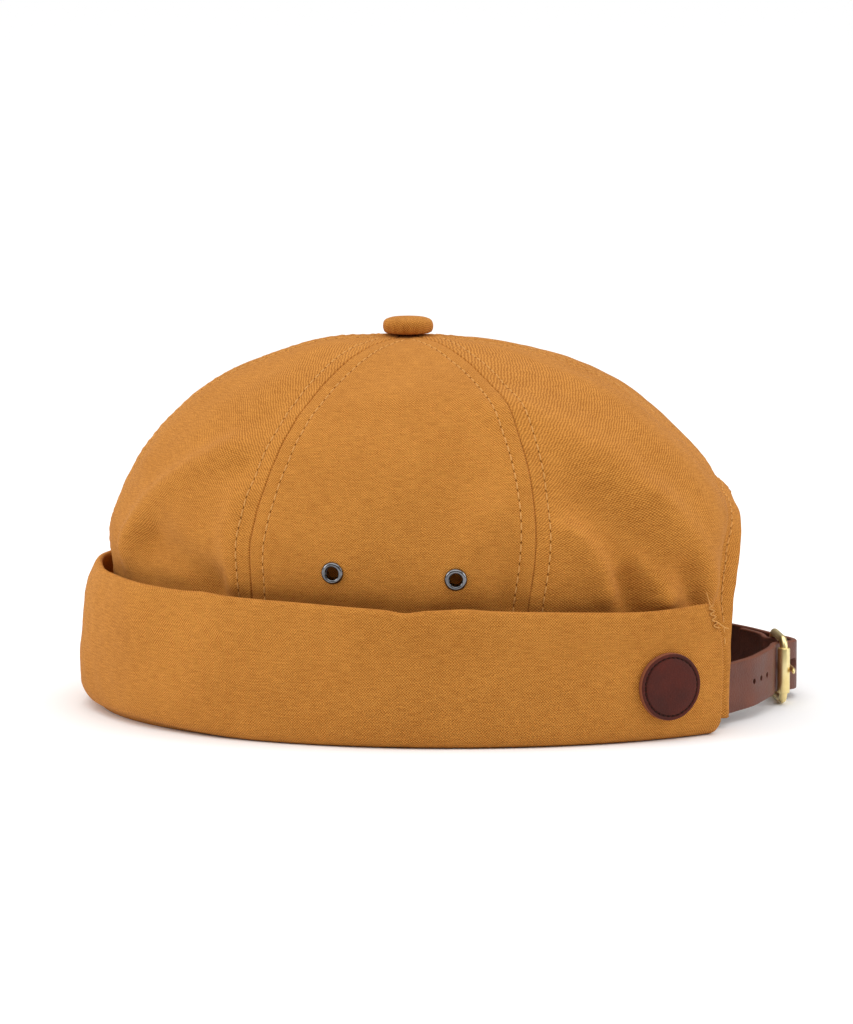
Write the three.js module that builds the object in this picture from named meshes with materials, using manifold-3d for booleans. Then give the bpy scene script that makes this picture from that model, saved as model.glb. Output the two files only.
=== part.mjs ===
// A brimless cap lying on its rim: six cloth gores under a covered button, a deep turned-up cuff,
// four vent eyelets, a round leather patch on the cuff, and a leather strap with a roller buckle
// across the arched opening at the rear. Millimetres; the front is -Y, the wearer's left is +X, up is +Z.
import * as THREE from "three";
import { mergeVertices } from "three/addons/utils/BufferGeometryUtils.js";
import Module from "manifold-3d";

const wasm = await Module();
wasm.setup();

// Clearance between neighbouring pieces, and the thickness of the crown's cloth
const GAP = 0.3;
const CLOTH = 1.4;

// Outer outline of the cuff seen from above, an ellipse
const HALF_LENGTH = 110;
const HALF_WIDTH = 88;

// Crown: its wall stands inside the cuff and is flattened behind REAR_FROM
const WALL_INSET = 6.6;
const REAR_FROM = 76;
const REAR_LIMIT = 85.8;
const APEX_Y = -12.5;
const APEX_HEIGHT = 109.7;
const WIDE_HEIGHT = 46;
const CROWN_FOOT = 12.3;
const DOME_SHARE = 0.76;
const MERIDIAN_LENGTH = 150;
const APEX_HOLE = 0.02;
const NORMAL_STEPS = { angleStep: 0.05, shareStep: 0.001 };

// The crown draws in above the cuff, between an upper and a lower pair of heights, and not at the rear
const TUCK = { depth: 3.2, upper: [34, 58], lower: [13, 30], ends: [112, 126] };

// Seams of the crown, by angle from the front towards the wearer's left; a seam leans towards the button
const SEAMS = [
  { angle: 0, lean: 0 },
  { angle: 55.4, lean: 3.2 },
  { angle: 100, lean: 9.5 },
  { angle: 180, lean: 0 },
  { angle: 260, lean: -9.5 },
  { angle: 304.6, lean: -3.2 },
  { angle: 360, lean: 0 },
];
const PANELS = ["front_left", "side_left", "back_left", "back_right", "side_right", "front_right"];
const PANEL_ROWS = 16;
const PANEL_COLUMNS = 11;

// Folds and slumps of the crown: a soft ridge (or hollow, if the depth is negative) along a line
// from one angle and height to another, fading out over its reach
const FOLDS = [
  { from: [-24, 60], to: [24, 60], reach: 20, depth: -1.8 },
  { from: [-24, 94], to: [24, 94], reach: 13, depth: 1.0 },
  { from: [-24, 106], to: [24, 106], reach: 13, depth: 1.3 },
  { from: [156, 83], to: [204, 83], reach: 12, depth: -1.1 },
  { from: [35, 106], to: [46, 80], reach: 7, depth: 1.4 },
  { from: [46, 80], to: [21, 50], reach: 6, depth: 3.0 },
  { from: [31, 54], to: [48, 44], reach: 8, depth: -3.8 },
  { from: [52, 68], to: [52, 44], reach: 5, depth: 2.0 },
  { from: [90, 76], to: [84, 56], reach: 13, depth: -2.0 },
  { from: [97, 66], to: [94, 59], reach: 6, depth: 1.8 },
  { from: [99, 54], to: [99, 42], reach: 6, depth: -2.0 },
  { from: [108, 92], to: [126, 68], reach: 8, depth: 2.4 },
  { from: [126, 68], to: [137, 42], reach: 6, depth: 2.4 },
  { from: [114, 68], to: [122, 50], reach: 10, depth: -3.8 },
  { from: [110, 60], to: [116, 43], reach: 4.2, depth: 2.8 },
  { from: [121, 52], to: [126, 40], reach: 4.2, depth: 3.0 },
  { from: [118, 46], to: [121, 36], reach: 4.2, depth: -2.6 },
  { from: [130, 48], to: [133, 36], reach: 4.2, depth: -2.6 },
  { from: [250, 92], to: [232, 64], reach: 10, depth: 1.6 },
  { from: [246, 66], to: [238, 48], reach: 12, depth: -2.0 },
  { from: [272, 72], to: [268, 54], reach: 13, depth: -1.6 },
  { from: [318, 84], to: [336, 52], reach: 10, depth: 1.6 },
];

// Arched opening at the rear, a rounded outline in the XZ plane; its upper edge flares outwards
const ARCH = { halfWidth: 48.6, height: 62, power: 2.6, points: 32, nearY: 40, farY: 130 };
const LIP = { flare: 2.0, reach: 6, fadeFrom: 38, fadeTo: 62 };

// Turned-up cuff: the height of its top edge by angle from the front, and its two ends
const CUFF_END_ANGLE = 136;
const BAND_ANGLES = { from: 134, to: 150 };
const CUFF_STEPS = 46;
const BAND_STEPS = 5;
const BAND_FOOT = 4.5;
const BAND_HEIGHT = 12;
const CUFF_TOP = [
  { angle: 0, height: 42 },
  { angle: 25, height: 42.4 },
  { angle: 45, height: 41.4 },
  { angle: 70, height: 40.6 },
  { angle: 84, height: 39.2 },
  { angle: 92, height: 39.5 },
  { angle: 105, height: 38.5 },
  { angle: 121, height: 37.2 },
  { angle: 136, height: 38.2 },
];
// At the front the upper part of the cuff's outer leg leans in to the crown
const FRONT_LEAN = { depth: 3.2, from: 33, to: 45, angle: 34, within: 5 };
// Section of the cuff from its flat foot round the turned-up leg and the channel to the inner leg:
// distance inside the outer outline, and height counted from the foot or down from the top edge
const CUFF_SECTION = [
  { inset: 4.0, up: 0 },
  { inset: 1.6, up: 1.0 },
  { inset: 0.6, up: 3.2 },
  { inset: 0.1, up: 8 },
  { inset: 0, up: 17 },
  { inset: 0.3, up: 28 },
  { inset: 0.8, down: 3.0 },
  { inset: 1.3, down: 0.8 },
  { inset: 2.2, down: 0 },
  { inset: 3.1, down: 0.6 },
  { inset: 3.6, down: 3.0 },
  { inset: 3.2, up: 28 },
  { inset: 3.0, up: 17 },
  { inset: 3.2, up: 6 },
  { inset: 4.2, up: 2.6 },
  { inset: 5.4, up: 2.6 },
  { inset: 6.6, up: 5.0 },
  { inset: 6.6, up: 12 },
  { inset: 8.0, up: 12 },
  { inset: 8.0, up: 3.4 },
  { inset: 7.4, up: 1.2 },
  { inset: 6.2, up: 0 },
];

// Covered button on the apex
const BUTTON = { radius: 7.5, height: 4.9, edge: 1.7, edgeSteps: 5, steps: 20 };

// Vent eyelets, a row of two on each side
const EYELET = { flange: 3.25, bore: 1.6, barrel: 1.9, rim: 0.9, backFlange: 2.8, backRim: 0.5, steps: 12 };
const EYELET_LIFT = 0.45;
const EYELET_SEAT = { angleStep: 2, shareStep: 0.02 };
const EYELET_PLACES = [
  { name: "left_front", angle: 71, height: 48.8 },
  { name: "left_rear", angle: 90.7, height: 47.5 },
  { name: "right_front", angle: 289, height: 48.8 },
  { name: "right_rear", angle: 269.3, height: 47.5 },
];

// Leather patch on the left of the cuff
const PATCH = { angle: 124.3, height: 15.8, radius: 9.7, thickness: 1.9, rings: 4, steps: 28 };

// Rear strap: two leather lengths that meet at the buckle, with the height of the strap's middle
const STRAP = { width: 14.8, thickness: 1.8, clearance: 1.0, steps: 40 };
const STRAP_ANCHOR_ANGLES = [128, 132, 136, 139];
const TAIL_ANCHOR_HEIGHT = 10.3;
const TAIL_PATH = [
  { x: 44, y: 80.6, z: 10.5 },
  { x: 39, y: 84.4, z: 10.7 },
  { x: 34, y: 88.0, z: 10.9 },
  { x: 26, y: 91.8, z: 11.2 },
  { x: 17, y: 95.1, z: 11.4 },
  { x: 11.2, y: 96.1, z: 11.3 },
  { x: 6.5, y: 97.6, z: 11.0 },
  { x: 1.5, y: 100.8, z: 10.5 },
  { x: -3.5, y: 103.3, z: 10.0 },
  { x: -8.5, y: 103.7, z: 9.7 },
  { x: -14.5, y: 102.2, z: 9.4 },
  { x: -22, y: 98.9, z: 9.2 },
  { x: -29, y: 95.4, z: 9.0 },
];
const TAIL_HOLES = { xs: [33.4, 28.6, 23.8, -16, -22.5], radius: 1.1, steps: 12, length: 8, search: 0.002 };
const BUCKLE_ANCHOR_HEIGHT = 9.9;
const BUCKLE_STRAP_PATH = [
  { x: -44, y: 80.6, z: 10.0 },
  { x: -40, y: 83.8, z: 10.1 },
  { x: -35, y: 87.4, z: 10.2 },
  { x: -28, y: 91.6, z: 10.3 },
  { x: -18, y: 96.2, z: 10.5 },
  { x: -13, y: 98.3, z: 10.6 },
];
const FOLD_BACK_PATH = [
  { x: -12.5, y: 94.6, z: 10.6 },
  { x: -17.4, y: 93.2, z: 10.5 },
  { x: -25.6, y: 89.4, z: 10.4 },
];
const WRAP = { from: 112, to: -85, steps: 9, radius: 2.6, height: 10.6 };

// Roller buckle, in its own frame: the hinge bar at -span, the roller at +span
const BUCKLE = { x: 1.7, y: 98.5, height: 10.5, turn: 5.5, span: 9.3, rise: 9.0, bar: 1.2, corner: 2.6 };
const BUCKLE_CORNER_STEPS = 5;
const BAR_SIDES = 8;
const ROLLER = { inner: 1.5, outer: 1.9, length: 13.6, steps: 20 };
const PRONG = { width: 2.4, thick: 1.4, inner: 1.6, outer: 2.6, steps: 7, slack: 0.5 };
const TAIL_SLOT = { from: -8.6, to: 2.2 };
const BUCKLE_STRAP_SLOT = { from: -15, to: 0 };
const PRONG_ARM = [
  { x: -7.4, y: 1.1 },
  { x: -3.0, y: 2.4 },
  { x: 9.3, y: 2.95 },
  { x: 11.8, y: 2.5 },
];

const CLOTH_LOOK = { color: "#c58339", roughness: 0.95, metalness: 0 };
const LEATHER_LOOK = { color: "#70473c", roughness: 0.6, metalness: 0 };
const PATCH_LOOK = { color: "#5a2f27", roughness: 0.7, metalness: 0 };
const BRASS_LOOK = { color: "#d0b573", roughness: 0.3, metalness: 1 };
const DARK_METAL_LOOK = { color: "#4a4a4c", roughness: 0.35, metalness: 1 };

const radians = THREE.MathUtils.degToRad;

// Outer outline of the cuff at an angle, moved inwards by inset
function outline(angle, inset) {
  const t = radians(angle);
  const normal = new THREE.Vector2(HALF_LENGTH * Math.sin(t), -HALF_WIDTH * Math.cos(t)).normalize();
  const point = new THREE.Vector2(HALF_WIDTH * Math.sin(t), -HALF_LENGTH * Math.cos(t));
  return point.addScaledVector(normal, -inset);
}

// Outline of the crown's wall: the same ellipse further in, with its rear flattened
function wall(angle, inset) {
  const point = outline(angle, inset);
  const span = REAR_LIMIT - REAR_FROM;
  if (point.y > REAR_FROM) {
    point.y = REAR_FROM + span * (1 - Math.exp((REAR_FROM - point.y) / span));
  }
  return point;
}

// The crown without folds. The share runs from 0 at the apex to 1 at the lower edge.
function plainCrown(angle, share) {
  const foot = wall(angle, WALL_INSET);
  const turn = (Math.min(share / DOME_SHARE, 1) * Math.PI) / 2;
  const reach = Math.sin(turn);
  const below = Math.max(share - DOME_SHARE, 0) / (1 - DOME_SHARE);
  const above = (APEX_HEIGHT - WIDE_HEIGHT) * Math.cos(turn);
  const height = WIDE_HEIGHT + above - (WIDE_HEIGHT - CROWN_FOOT) * below;
  return new THREE.Vector3(foot.x * reach, APEX_Y + (foot.y - APEX_Y) * reach, height);
}

function shareAtHeight(height) {
  if (height < WIDE_HEIGHT) {
    return DOME_SHARE + ((1 - DOME_SHARE) * (WIDE_HEIGHT - height)) / (WIDE_HEIGHT - CROWN_FOOT);
  }
  const rise = Math.min((height - WIDE_HEIGHT) / (APEX_HEIGHT - WIDE_HEIGHT), 1);
  return (DOME_SHARE * Math.acos(rise)) / (Math.PI / 2);
}

// The crown laid out flat as a disc round the apex, in which the folds are straight
function flatDisc(angle, share) {
  const t = radians(angle);
  return new THREE.Vector2(Math.sin(t), -Math.cos(t)).multiplyScalar(MERIDIAN_LENGTH * share);
}

const FLAT_FOLDS = FOLDS.map(({ from, to, reach, depth }) => ({
  start: flatDisc(from[0], shareAtHeight(from[1])),
  end: flatDisc(to[0], shareAtHeight(to[1])),
  reach,
  depth,
}));

function foldDepth(angle, share) {
  const place = flatDisc(angle, share);
  let total = 0;
  for (const { start, end, reach, depth } of FLAT_FOLDS) {
    const along = end.clone().sub(start);
    const part = THREE.MathUtils.clamp(place.clone().sub(start).dot(along) / along.lengthSq(), 0, 1);
    const distance = place.distanceTo(start.clone().addScaledVector(along, part));
    total += depth * Math.exp(-((distance / reach) ** 2));
  }
  return total;
}

// Outward flare of the cloth along the upper edge of the rear arch
function lipFlare(point) {
  if (point.y < ARCH.nearY) {
    return 0;
  }
  const across = Math.abs(point.x / ARCH.halfWidth) ** ARCH.power;
  const upwards = Math.abs(point.z / ARCH.height) ** ARCH.power;
  const outside = Math.max((across + upwards) ** (1 / ARCH.power) - 1, 0) * ARCH.halfWidth;
  const fade = THREE.MathUtils.smoothstep(point.z, LIP.fadeFrom, LIP.fadeTo);
  return LIP.flare * fade * Math.exp(-((outside / LIP.reach) ** 2));
}

function crownNormal(angle, share) {
  const { angleStep, shareStep } = NORMAL_STEPS;
  const along = plainCrown(angle + angleStep, share).sub(plainCrown(angle - angleStep, share));
  const down = plainCrown(angle, share + shareStep).sub(plainCrown(angle, share - shareStep));
  return down.cross(along).normalize();
}

// How far the crown draws in above the cuff
function tuckDepth(angle, height) {
  const turned = Math.abs(THREE.MathUtils.euclideanModulo(angle + 180, 360) - 180);
  const { smoothstep } = THREE.MathUtils;
  const raised = smoothstep(height, ...TUCK.lower) * (1 - smoothstep(height, ...TUCK.upper));
  return TUCK.depth * raised * (1 - smoothstep(turned, ...TUCK.ends));
}

// A point of the folded crown, moved inwards by depth
function crown(angle, share, depth) {
  const point = plainCrown(angle, share);
  const lift = foldDepth(angle, share) + lipFlare(point) - tuckDepth(angle, point.z) - depth;
  return point.addScaledVector(crownNormal(angle, share), lift);
}

function signedVolume(positions, triangles) {
  let volume = 0;
  for (let i = 0; i < triangles.length; i += 3) {
    const [a, b, c] = [positions[triangles[i]], positions[triangles[i + 1]], positions[triangles[i + 2]]];
    volume += a.dot(b.clone().cross(c)) / 6;
  }
  return volume;
}

// A closed body from points and triangles, turned to face outwards
function body(positions, triangles) {
  if (signedVolume(positions, triangles) < 0) {
    triangles.reverse();
  }
  const geometry = new THREE.BufferGeometry().setFromPoints(positions);
  geometry.setIndex(triangles);
  return geometry;
}

// Triangles that close a flat section, in the direction of its outline
function capOf(flatSection) {
  const turn = THREE.ShapeUtils.area(flatSection);
  return THREE.ShapeUtils.triangulateShape(flatSection, []).map(([a, b, c]) => {
    const alike = THREE.ShapeUtils.area([flatSection[a], flatSection[b], flatSection[c]]) * turn > 0;
    return alike ? [a, b, c] : [a, c, b];
  });
}

// A solid swept through a row of closed sections. Without a cap the row closes on itself.
function sweep(sections, cap) {
  const count = sections[0].length;
  const triangles = [];
  const spans = cap ? sections.length - 1 : sections.length;
  for (let i = 0; i < spans; i += 1) {
    const here = i * count;
    const next = ((i + 1) % sections.length) * count;
    for (let j = 0; j < count; j += 1) {
      const k = (j + 1) % count;
      triangles.push(here + j, here + k, next + j, next + j, here + k, next + k);
    }
  }
  const last = (sections.length - 1) * count;
  for (const [a, b, c] of cap ?? []) {
    triangles.push(a, c, b, last + a, last + b, last + c);
  }
  return body(sections.flat(), triangles);
}

function toManifold(geometry) {
  const bare = new THREE.BufferGeometry();
  bare.setAttribute("position", geometry.getAttribute("position"));
  bare.setIndex(geometry.getIndex());
  const merged = mergeVertices(bare);
  const vertProperties = Float32Array.from(merged.getAttribute("position").array);
  const triVerts = Uint32Array.from(merged.getIndex().array);
  return new wasm.Manifold(new wasm.Mesh({ numProp: 3, vertProperties, triVerts }));
}

function toGeometry(solid) {
  const { vertProperties, triVerts } = solid.getMesh();
  const geometry = new THREE.BufferGeometry();
  geometry.setAttribute("position", new THREE.BufferAttribute(vertProperties, 3));
  geometry.setIndex(new THREE.BufferAttribute(triVerts, 1));
  return geometry;
}

function cut(geometry, ...tools) {
  return toGeometry(tools.reduce((solid, tool) => solid.subtract(toManifold(tool)), toManifold(geometry)));
}

// A body in the shape of the rear opening, to cut the crown and the cuff's inner leg with
function archTool() {
  const shape = new THREE.Shape();
  shape.moveTo(ARCH.halfWidth, -ARCH.height);
  for (let i = 0; i <= ARCH.points; i += 1) {
    const t = (Math.PI * i) / ARCH.points;
    const x = Math.sign(Math.cos(t)) * Math.abs(Math.cos(t)) ** (2 / ARCH.power);
    shape.lineTo(ARCH.halfWidth * x, ARCH.height * Math.sin(t) ** (2 / ARCH.power));
  }
  shape.lineTo(-ARCH.halfWidth, -ARCH.height);
  const tool = new THREE.ExtrudeGeometry(shape, { depth: ARCH.farY - ARCH.nearY, bevelEnabled: false });
  return tool.rotateX(Math.PI / 2).translate(0, ARCH.farY, 0);
}

// Places a body made along +Y so that +Y points along an axis
function aim(geometry, axis, place) {
  geometry.applyQuaternion(new THREE.Quaternion().setFromUnitVectors(new THREE.Vector3(0, 1, 0), axis));
  return geometry.translate(place.x, place.y, place.z);
}

// Where an eyelet sits on the folded crown, and the outward direction there
function eyeletSeat({ angle, height }) {
  const share = shareAtHeight(height);
  const { angleStep, shareStep } = EYELET_SEAT;
  const along = crown(angle + angleStep, share, 0).sub(crown(angle - angleStep, share, 0));
  const down = crown(angle, share + shareStep, 0).sub(crown(angle, share - shareStep, 0));
  return { place: crown(angle, share, 0), axis: down.cross(along).normalize() };
}

function eyeletHole(seat) {
  const radius = EYELET.barrel + GAP;
  return aim(new THREE.CylinderGeometry(radius, radius, 4 * CLOTH, EYELET.steps), seat.axis, seat.place);
}

function eyelet(seat) {
  const top = EYELET_LIFT + EYELET.rim;
  const back = -CLOTH - EYELET_LIFT;
  const profile = [
    new THREE.Vector2(EYELET.bore, back - EYELET.backRim),
    new THREE.Vector2(EYELET.backFlange, back - EYELET.backRim),
    new THREE.Vector2(EYELET.backFlange, back),
    new THREE.Vector2(EYELET.barrel, back),
    new THREE.Vector2(EYELET.barrel, EYELET_LIFT),
    new THREE.Vector2(EYELET.flange, EYELET_LIFT),
    new THREE.Vector2(EYELET.flange, EYELET_LIFT + EYELET.rim / 2),
    new THREE.Vector2((EYELET.flange + EYELET.bore) / 2, top),
    new THREE.Vector2(EYELET.bore, top - EYELET.rim / 3),
    new THREE.Vector2(EYELET.bore, back - EYELET.backRim),
  ];
  return aim(new THREE.LatheGeometry(profile, EYELET.steps), seat.axis, seat.place);
}

function seamAngle(seam, share) {
  return seam.angle + seam.lean * (1 - share);
}

// One gore between two seams, as rows of closed rings that run out along its outside and back inside
function panel(leftSeam, rightSeam) {
  const sections = [];
  for (let row = 0; row <= PANEL_ROWS; row += 1) {
    const share = APEX_HOLE + ((1 - APEX_HOLE) * row) / PANEL_ROWS;
    const first = seamAngle(leftSeam, share);
    const last = seamAngle(rightSeam, share);
    const width = crown(first, share, 0).distanceTo(crown(first + 1, share, 0));
    const margin = GAP / 2 / width;
    const ring = [];
    for (let column = 0; column <= PANEL_COLUMNS; column += 1) {
      const angle = THREE.MathUtils.lerp(first + margin, last - margin, column / PANEL_COLUMNS);
      ring.push(crown(angle, share, 0));
    }
    for (let column = PANEL_COLUMNS; column >= 0; column -= 1) {
      const angle = THREE.MathUtils.lerp(first + margin, last - margin, column / PANEL_COLUMNS);
      ring.push(crown(angle, share, CLOTH));
    }
    sections.push(ring);
  }
  const cap = [];
  const last = 2 * PANEL_COLUMNS + 1;
  for (let column = 0; column < PANEL_COLUMNS; column += 1) {
    cap.push([column, column + 1, last - column], [column + 1, last - column - 1, last - column]);
  }
  return sweep(sections, cap);
}

function cuffTopAt(angle) {
  const side = Math.abs(angle);
  const next = Math.max(CUFF_TOP.findIndex((row) => row.angle >= side), 1);
  const [before, after] = [CUFF_TOP[next - 1], CUFF_TOP[next]];
  return THREE.MathUtils.mapLinear(side, before.angle, after.angle, before.height, after.height);
}

function frontLean(angle, height) {
  const { depth, from, to } = FRONT_LEAN;
  return depth * Math.exp(-((angle / FRONT_LEAN.angle) ** 2)) * THREE.MathUtils.smoothstep(height, from, to);
}

// The turned-up cuff: outer leg, channel and inner leg in one, with the inner leg running on to the arch
function cuff(arch) {
  const channel = [];
  for (let i = 0; i <= CUFF_STEPS; i += 1) {
    const angle = THREE.MathUtils.lerp(-CUFF_END_ANGLE, CUFF_END_ANGLE, i / CUFF_STEPS);
    const top = cuffTopAt(angle);
    channel.push(
      CUFF_SECTION.map(({ inset, up, down }) => {
        const height = up ?? top - down;
        const moved = inset + (inset < FRONT_LEAN.within ? frontLean(angle, height) : 0);
        const point = inset < WALL_INSET ? outline(angle, moved) : wall(angle, inset);
        return new THREE.Vector3(point.x, point.y, height);
      }),
    );
  }
  const flat = CUFF_SECTION.map(({ inset, up, down }) => {
    return new THREE.Vector2(inset, up ?? CUFF_TOP[0].height - down);
  });
  const bandSection = [
    new THREE.Vector2(WALL_INSET, BAND_FOOT),
    new THREE.Vector2(WALL_INSET, BAND_HEIGHT),
    new THREE.Vector2(WALL_INSET + CLOTH, BAND_HEIGHT),
    new THREE.Vector2(WALL_INSET + CLOTH, BAND_FOOT),
  ];
  const bandEnd = (sign) => {
    const band = [];
    for (let i = 0; i <= BAND_STEPS; i += 1) {
      const angle = sign * THREE.MathUtils.lerp(BAND_ANGLES.from, BAND_ANGLES.to, i / BAND_STEPS);
      band.push(bandSection.map(({ x, y }) => new THREE.Vector3(wall(angle, x).x, wall(angle, x).y, y)));
    }
    return toManifold(sweep(band, capOf(bandSection))).subtract(toManifold(arch));
  };
  const turnedUp = toManifold(sweep(channel, capOf(flat)));
  return toGeometry(turnedUp.add(bandEnd(1)).add(bandEnd(-1)));
}

function button() {
  const { radius, edge, edgeSteps } = BUTTON;
  const half = BUTTON.height / 2;
  const profile = [new THREE.Vector2(0, 0), new THREE.Vector2(radius - edge, 0)];
  for (let i = 1; i <= edgeSteps; i += 1) {
    const t = (Math.PI * i) / (2 * edgeSteps);
    profile.push(new THREE.Vector2(radius - edge * (1 - Math.sin(t)), half * (1 - Math.cos(t))));
  }
  for (let i = 1; i < edgeSteps; i += 1) {
    const t = (Math.PI * i) / (2 * edgeSteps);
    profile.push(new THREE.Vector2(radius * Math.sqrt(Math.cos(t)), half * (1 + Math.sin(t))));
  }
  profile.push(new THREE.Vector2(0, BUTTON.height));
  const solid = new THREE.LatheGeometry(profile, BUTTON.steps).rotateX(Math.PI / 2);
  const seat = crown(0, APEX_HOLE, 0).z + GAP;
  return solid.translate(0, APEX_Y, seat);
}

// A round patch that follows the bulge of the cuff
function patch() {
  const unit = outline(PATCH.angle, 0).distanceTo(outline(PATCH.angle + 1, 0));
  const at = (radius, turn, lift) => {
    const angle = PATCH.angle + (radius * Math.cos(turn)) / unit;
    const point = outline(angle, -GAP - lift);
    return new THREE.Vector3(point.x, point.y, PATCH.height + radius * Math.sin(turn));
  };
  const positions = [];
  const triangles = [];
  for (let ring = 1; ring <= 2 * PATCH.rings; ring += 1) {
    const outside = ring <= PATCH.rings;
    const radius = (PATCH.radius * (outside ? ring : 2 * PATCH.rings + 1 - ring)) / PATCH.rings;
    for (let i = 0; i < PATCH.steps; i += 1) {
      positions.push(at(radius, (2 * Math.PI * i) / PATCH.steps, outside ? PATCH.thickness : 0));
    }
  }
  for (let ring = 0; ring < 2 * PATCH.rings - 1; ring += 1) {
    for (let i = 0; i < PATCH.steps; i += 1) {
      const [a, b] = [ring * PATCH.steps + i, ring * PATCH.steps + ((i + 1) % PATCH.steps)];
      const [c, d] = [a + PATCH.steps, b + PATCH.steps];
      triangles.push(a, c, b, b, c, d);
    }
  }
  const [front, back] = [positions.length, positions.length + 1];
  positions.push(at(0, 0, PATCH.thickness), at(0, 0, 0));
  const lastRing = (2 * PATCH.rings - 1) * PATCH.steps;
  for (let i = 0; i < PATCH.steps; i += 1) {
    const j = (i + 1) % PATCH.steps;
    triangles.push(front, i, j, back, lastRing + j, lastRing + i);
  }
  return body(positions, triangles);
}

// Where the strap lies against the inside of the wall, on the side given by the sign
function strapAnchor(sign, height) {
  const inset = WALL_INSET + CLOTH + STRAP.clearance + STRAP.thickness / 2;
  return STRAP_ANCHOR_ANGLES.map((angle) => {
    const point = wall(sign * angle, inset);
    return { x: point.x, y: point.y, z: height };
  });
}

function strapCurve(path) {
  const points = path.map(({ x, y, z }) => new THREE.Vector3(x, y, z));
  return new THREE.CatmullRomCurve3(points, false, "centripetal");
}

// A flat strap standing on edge along a curve
function strap(curve) {
  const sections = [];
  const section = [
    new THREE.Vector2(-0.5, -0.5),
    new THREE.Vector2(0.5, -0.5),
    new THREE.Vector2(0.5, 0.5),
    new THREE.Vector2(-0.5, 0.5),
  ];
  for (let i = 0; i <= STRAP.steps; i += 1) {
    const centre = curve.getPointAt(i / STRAP.steps);
    const tangent = curve.getTangentAt(i / STRAP.steps);
    const side = new THREE.Vector3(-tangent.y, tangent.x, 0).normalize();
    sections.push(
      section.map(({ x, y }) => {
        const point = centre.clone().addScaledVector(side, x * STRAP.thickness);
        return point.setZ(centre.z + y * STRAP.width);
      }),
    );
  }
  return sweep(sections, capOf(section));
}

// A peg through the strap where its curve passes x
function strapHole(curve, x) {
  let part = 0;
  while (curve.getPointAt(part).x > x) {
    part += TAIL_HOLES.search;
  }
  const tangent = curve.getTangentAt(part);
  const across = new THREE.Vector3(-tangent.y, tangent.x, 0).normalize();
  const { radius, length, steps } = TAIL_HOLES;
  return aim(new THREE.CylinderGeometry(radius, radius, length, steps), across, curve.getPointAt(part));
}

// Moves a body from the buckle's own frame into the cap
function toBuckle(geometry) {
  return geometry.rotateZ(radians(BUCKLE.turn)).translate(BUCKLE.x, BUCKLE.y, BUCKLE.height);
}

function buckleBar(x) {
  return new THREE.Vector3(x, 0, 0).applyAxisAngle(new THREE.Vector3(0, 0, 1), radians(BUCKLE.turn));
}

function buckleFrame() {
  const { span, rise, corner, bar } = BUCKLE;
  const corners = [
    { x: span - corner, z: rise - corner, start: 0 },
    { x: corner - span, z: rise - corner, start: 90 },
    { x: corner - span, z: corner - rise, start: 180 },
    { x: span - corner, z: corner - rise, start: 270 },
  ];
  const sections = [];
  for (const { x, z, start } of corners) {
    for (let i = 0; i <= BUCKLE_CORNER_STEPS; i += 1) {
      const turn = radians(start + (90 * i) / BUCKLE_CORNER_STEPS);
      const outwards = new THREE.Vector3(Math.cos(turn), 0, Math.sin(turn));
      const centre = new THREE.Vector3(x, 0, z).addScaledVector(outwards, corner);
      const ring = [];
      for (let side = 0; side < BAR_SIDES; side += 1) {
        const t = (2 * Math.PI * side) / BAR_SIDES;
        const point = centre.clone().addScaledVector(outwards, bar * Math.cos(t));
        ring.push(point.setY(bar * Math.sin(t)));
      }
      sections.push(ring);
    }
  }
  return toBuckle(sweep(sections));
}

function buckleRoller() {
  const { inner, outer, length, steps } = ROLLER;
  const profile = [
    new THREE.Vector2(inner, -length / 2),
    new THREE.Vector2(outer, -length / 2),
    new THREE.Vector2(outer, length / 2),
    new THREE.Vector2(inner, length / 2),
    new THREE.Vector2(inner, -length / 2),
  ];
  const sleeve = new THREE.LatheGeometry(profile, steps).rotateX(Math.PI / 2);
  return toBuckle(sleeve.translate(BUCKLE.span, 0, 0));
}

function buckleProng() {
  const eye = new THREE.Shape().absarc(0, 0, PRONG.outer, 0, 2 * Math.PI);
  eye.holes.push(new THREE.Path().absarc(0, 0, PRONG.inner, 0, 2 * Math.PI));
  const flat = { depth: PRONG.width, bevelEnabled: false, curveSegments: PRONG.steps };
  const loop = new THREE.ExtrudeGeometry(eye, flat).translate(-BUCKLE.span, 0, -PRONG.width / 2);
  const half = PRONG.thick / 2;
  const upper = PRONG_ARM.map(({ x, y }) => new THREE.Vector2(x, y + half));
  const lower = PRONG_ARM.map(({ x, y }) => new THREE.Vector2(x, y - half)).reverse();
  const armShape = new THREE.Shape([...upper, ...lower]);
  const arm = new THREE.ExtrudeGeometry(armShape, flat).translate(0, 0, -PRONG.width / 2);
  return toBuckle(toGeometry(toManifold(loop).add(toManifold(arm))));
}

// A body that leaves room for the prong, between two places along the buckle
function prongSlot({ from, to }) {
  const height = PRONG.width + 2 * PRONG.slack;
  const room = new THREE.BoxGeometry(to - from, 4 * PRONG.outer, height);
  return toBuckle(room.translate((from + to) / 2, PRONG.outer / 2, 0));
}

function buckleStrapCurve() {
  const bar = buckleBar(-BUCKLE.span).add(new THREE.Vector3(BUCKLE.x, BUCKLE.y, 0));
  const wrap = [];
  for (let i = 0; i <= WRAP.steps; i += 1) {
    const turn = radians(THREE.MathUtils.lerp(WRAP.from, WRAP.to, i / WRAP.steps));
    const [x, y] = [bar.x + WRAP.radius * Math.cos(turn), bar.y + WRAP.radius * Math.sin(turn)];
    wrap.push({ x, y, z: WRAP.height });
  }
  const anchor = strapAnchor(-1, BUCKLE_ANCHOR_HEIGHT);
  return strapCurve([...anchor, ...BUCKLE_STRAP_PATH, ...wrap, ...FOLD_BACK_PATH]);
}

const cap = new THREE.Group();
cap.name = "cap";

function add(name, geometry, look) {
  const mesh = new THREE.Mesh(geometry, new THREE.MeshStandardMaterial(look));
  mesh.name = name;
  geometry.computeVertexNormals();
  cap.add(mesh);
}

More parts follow.
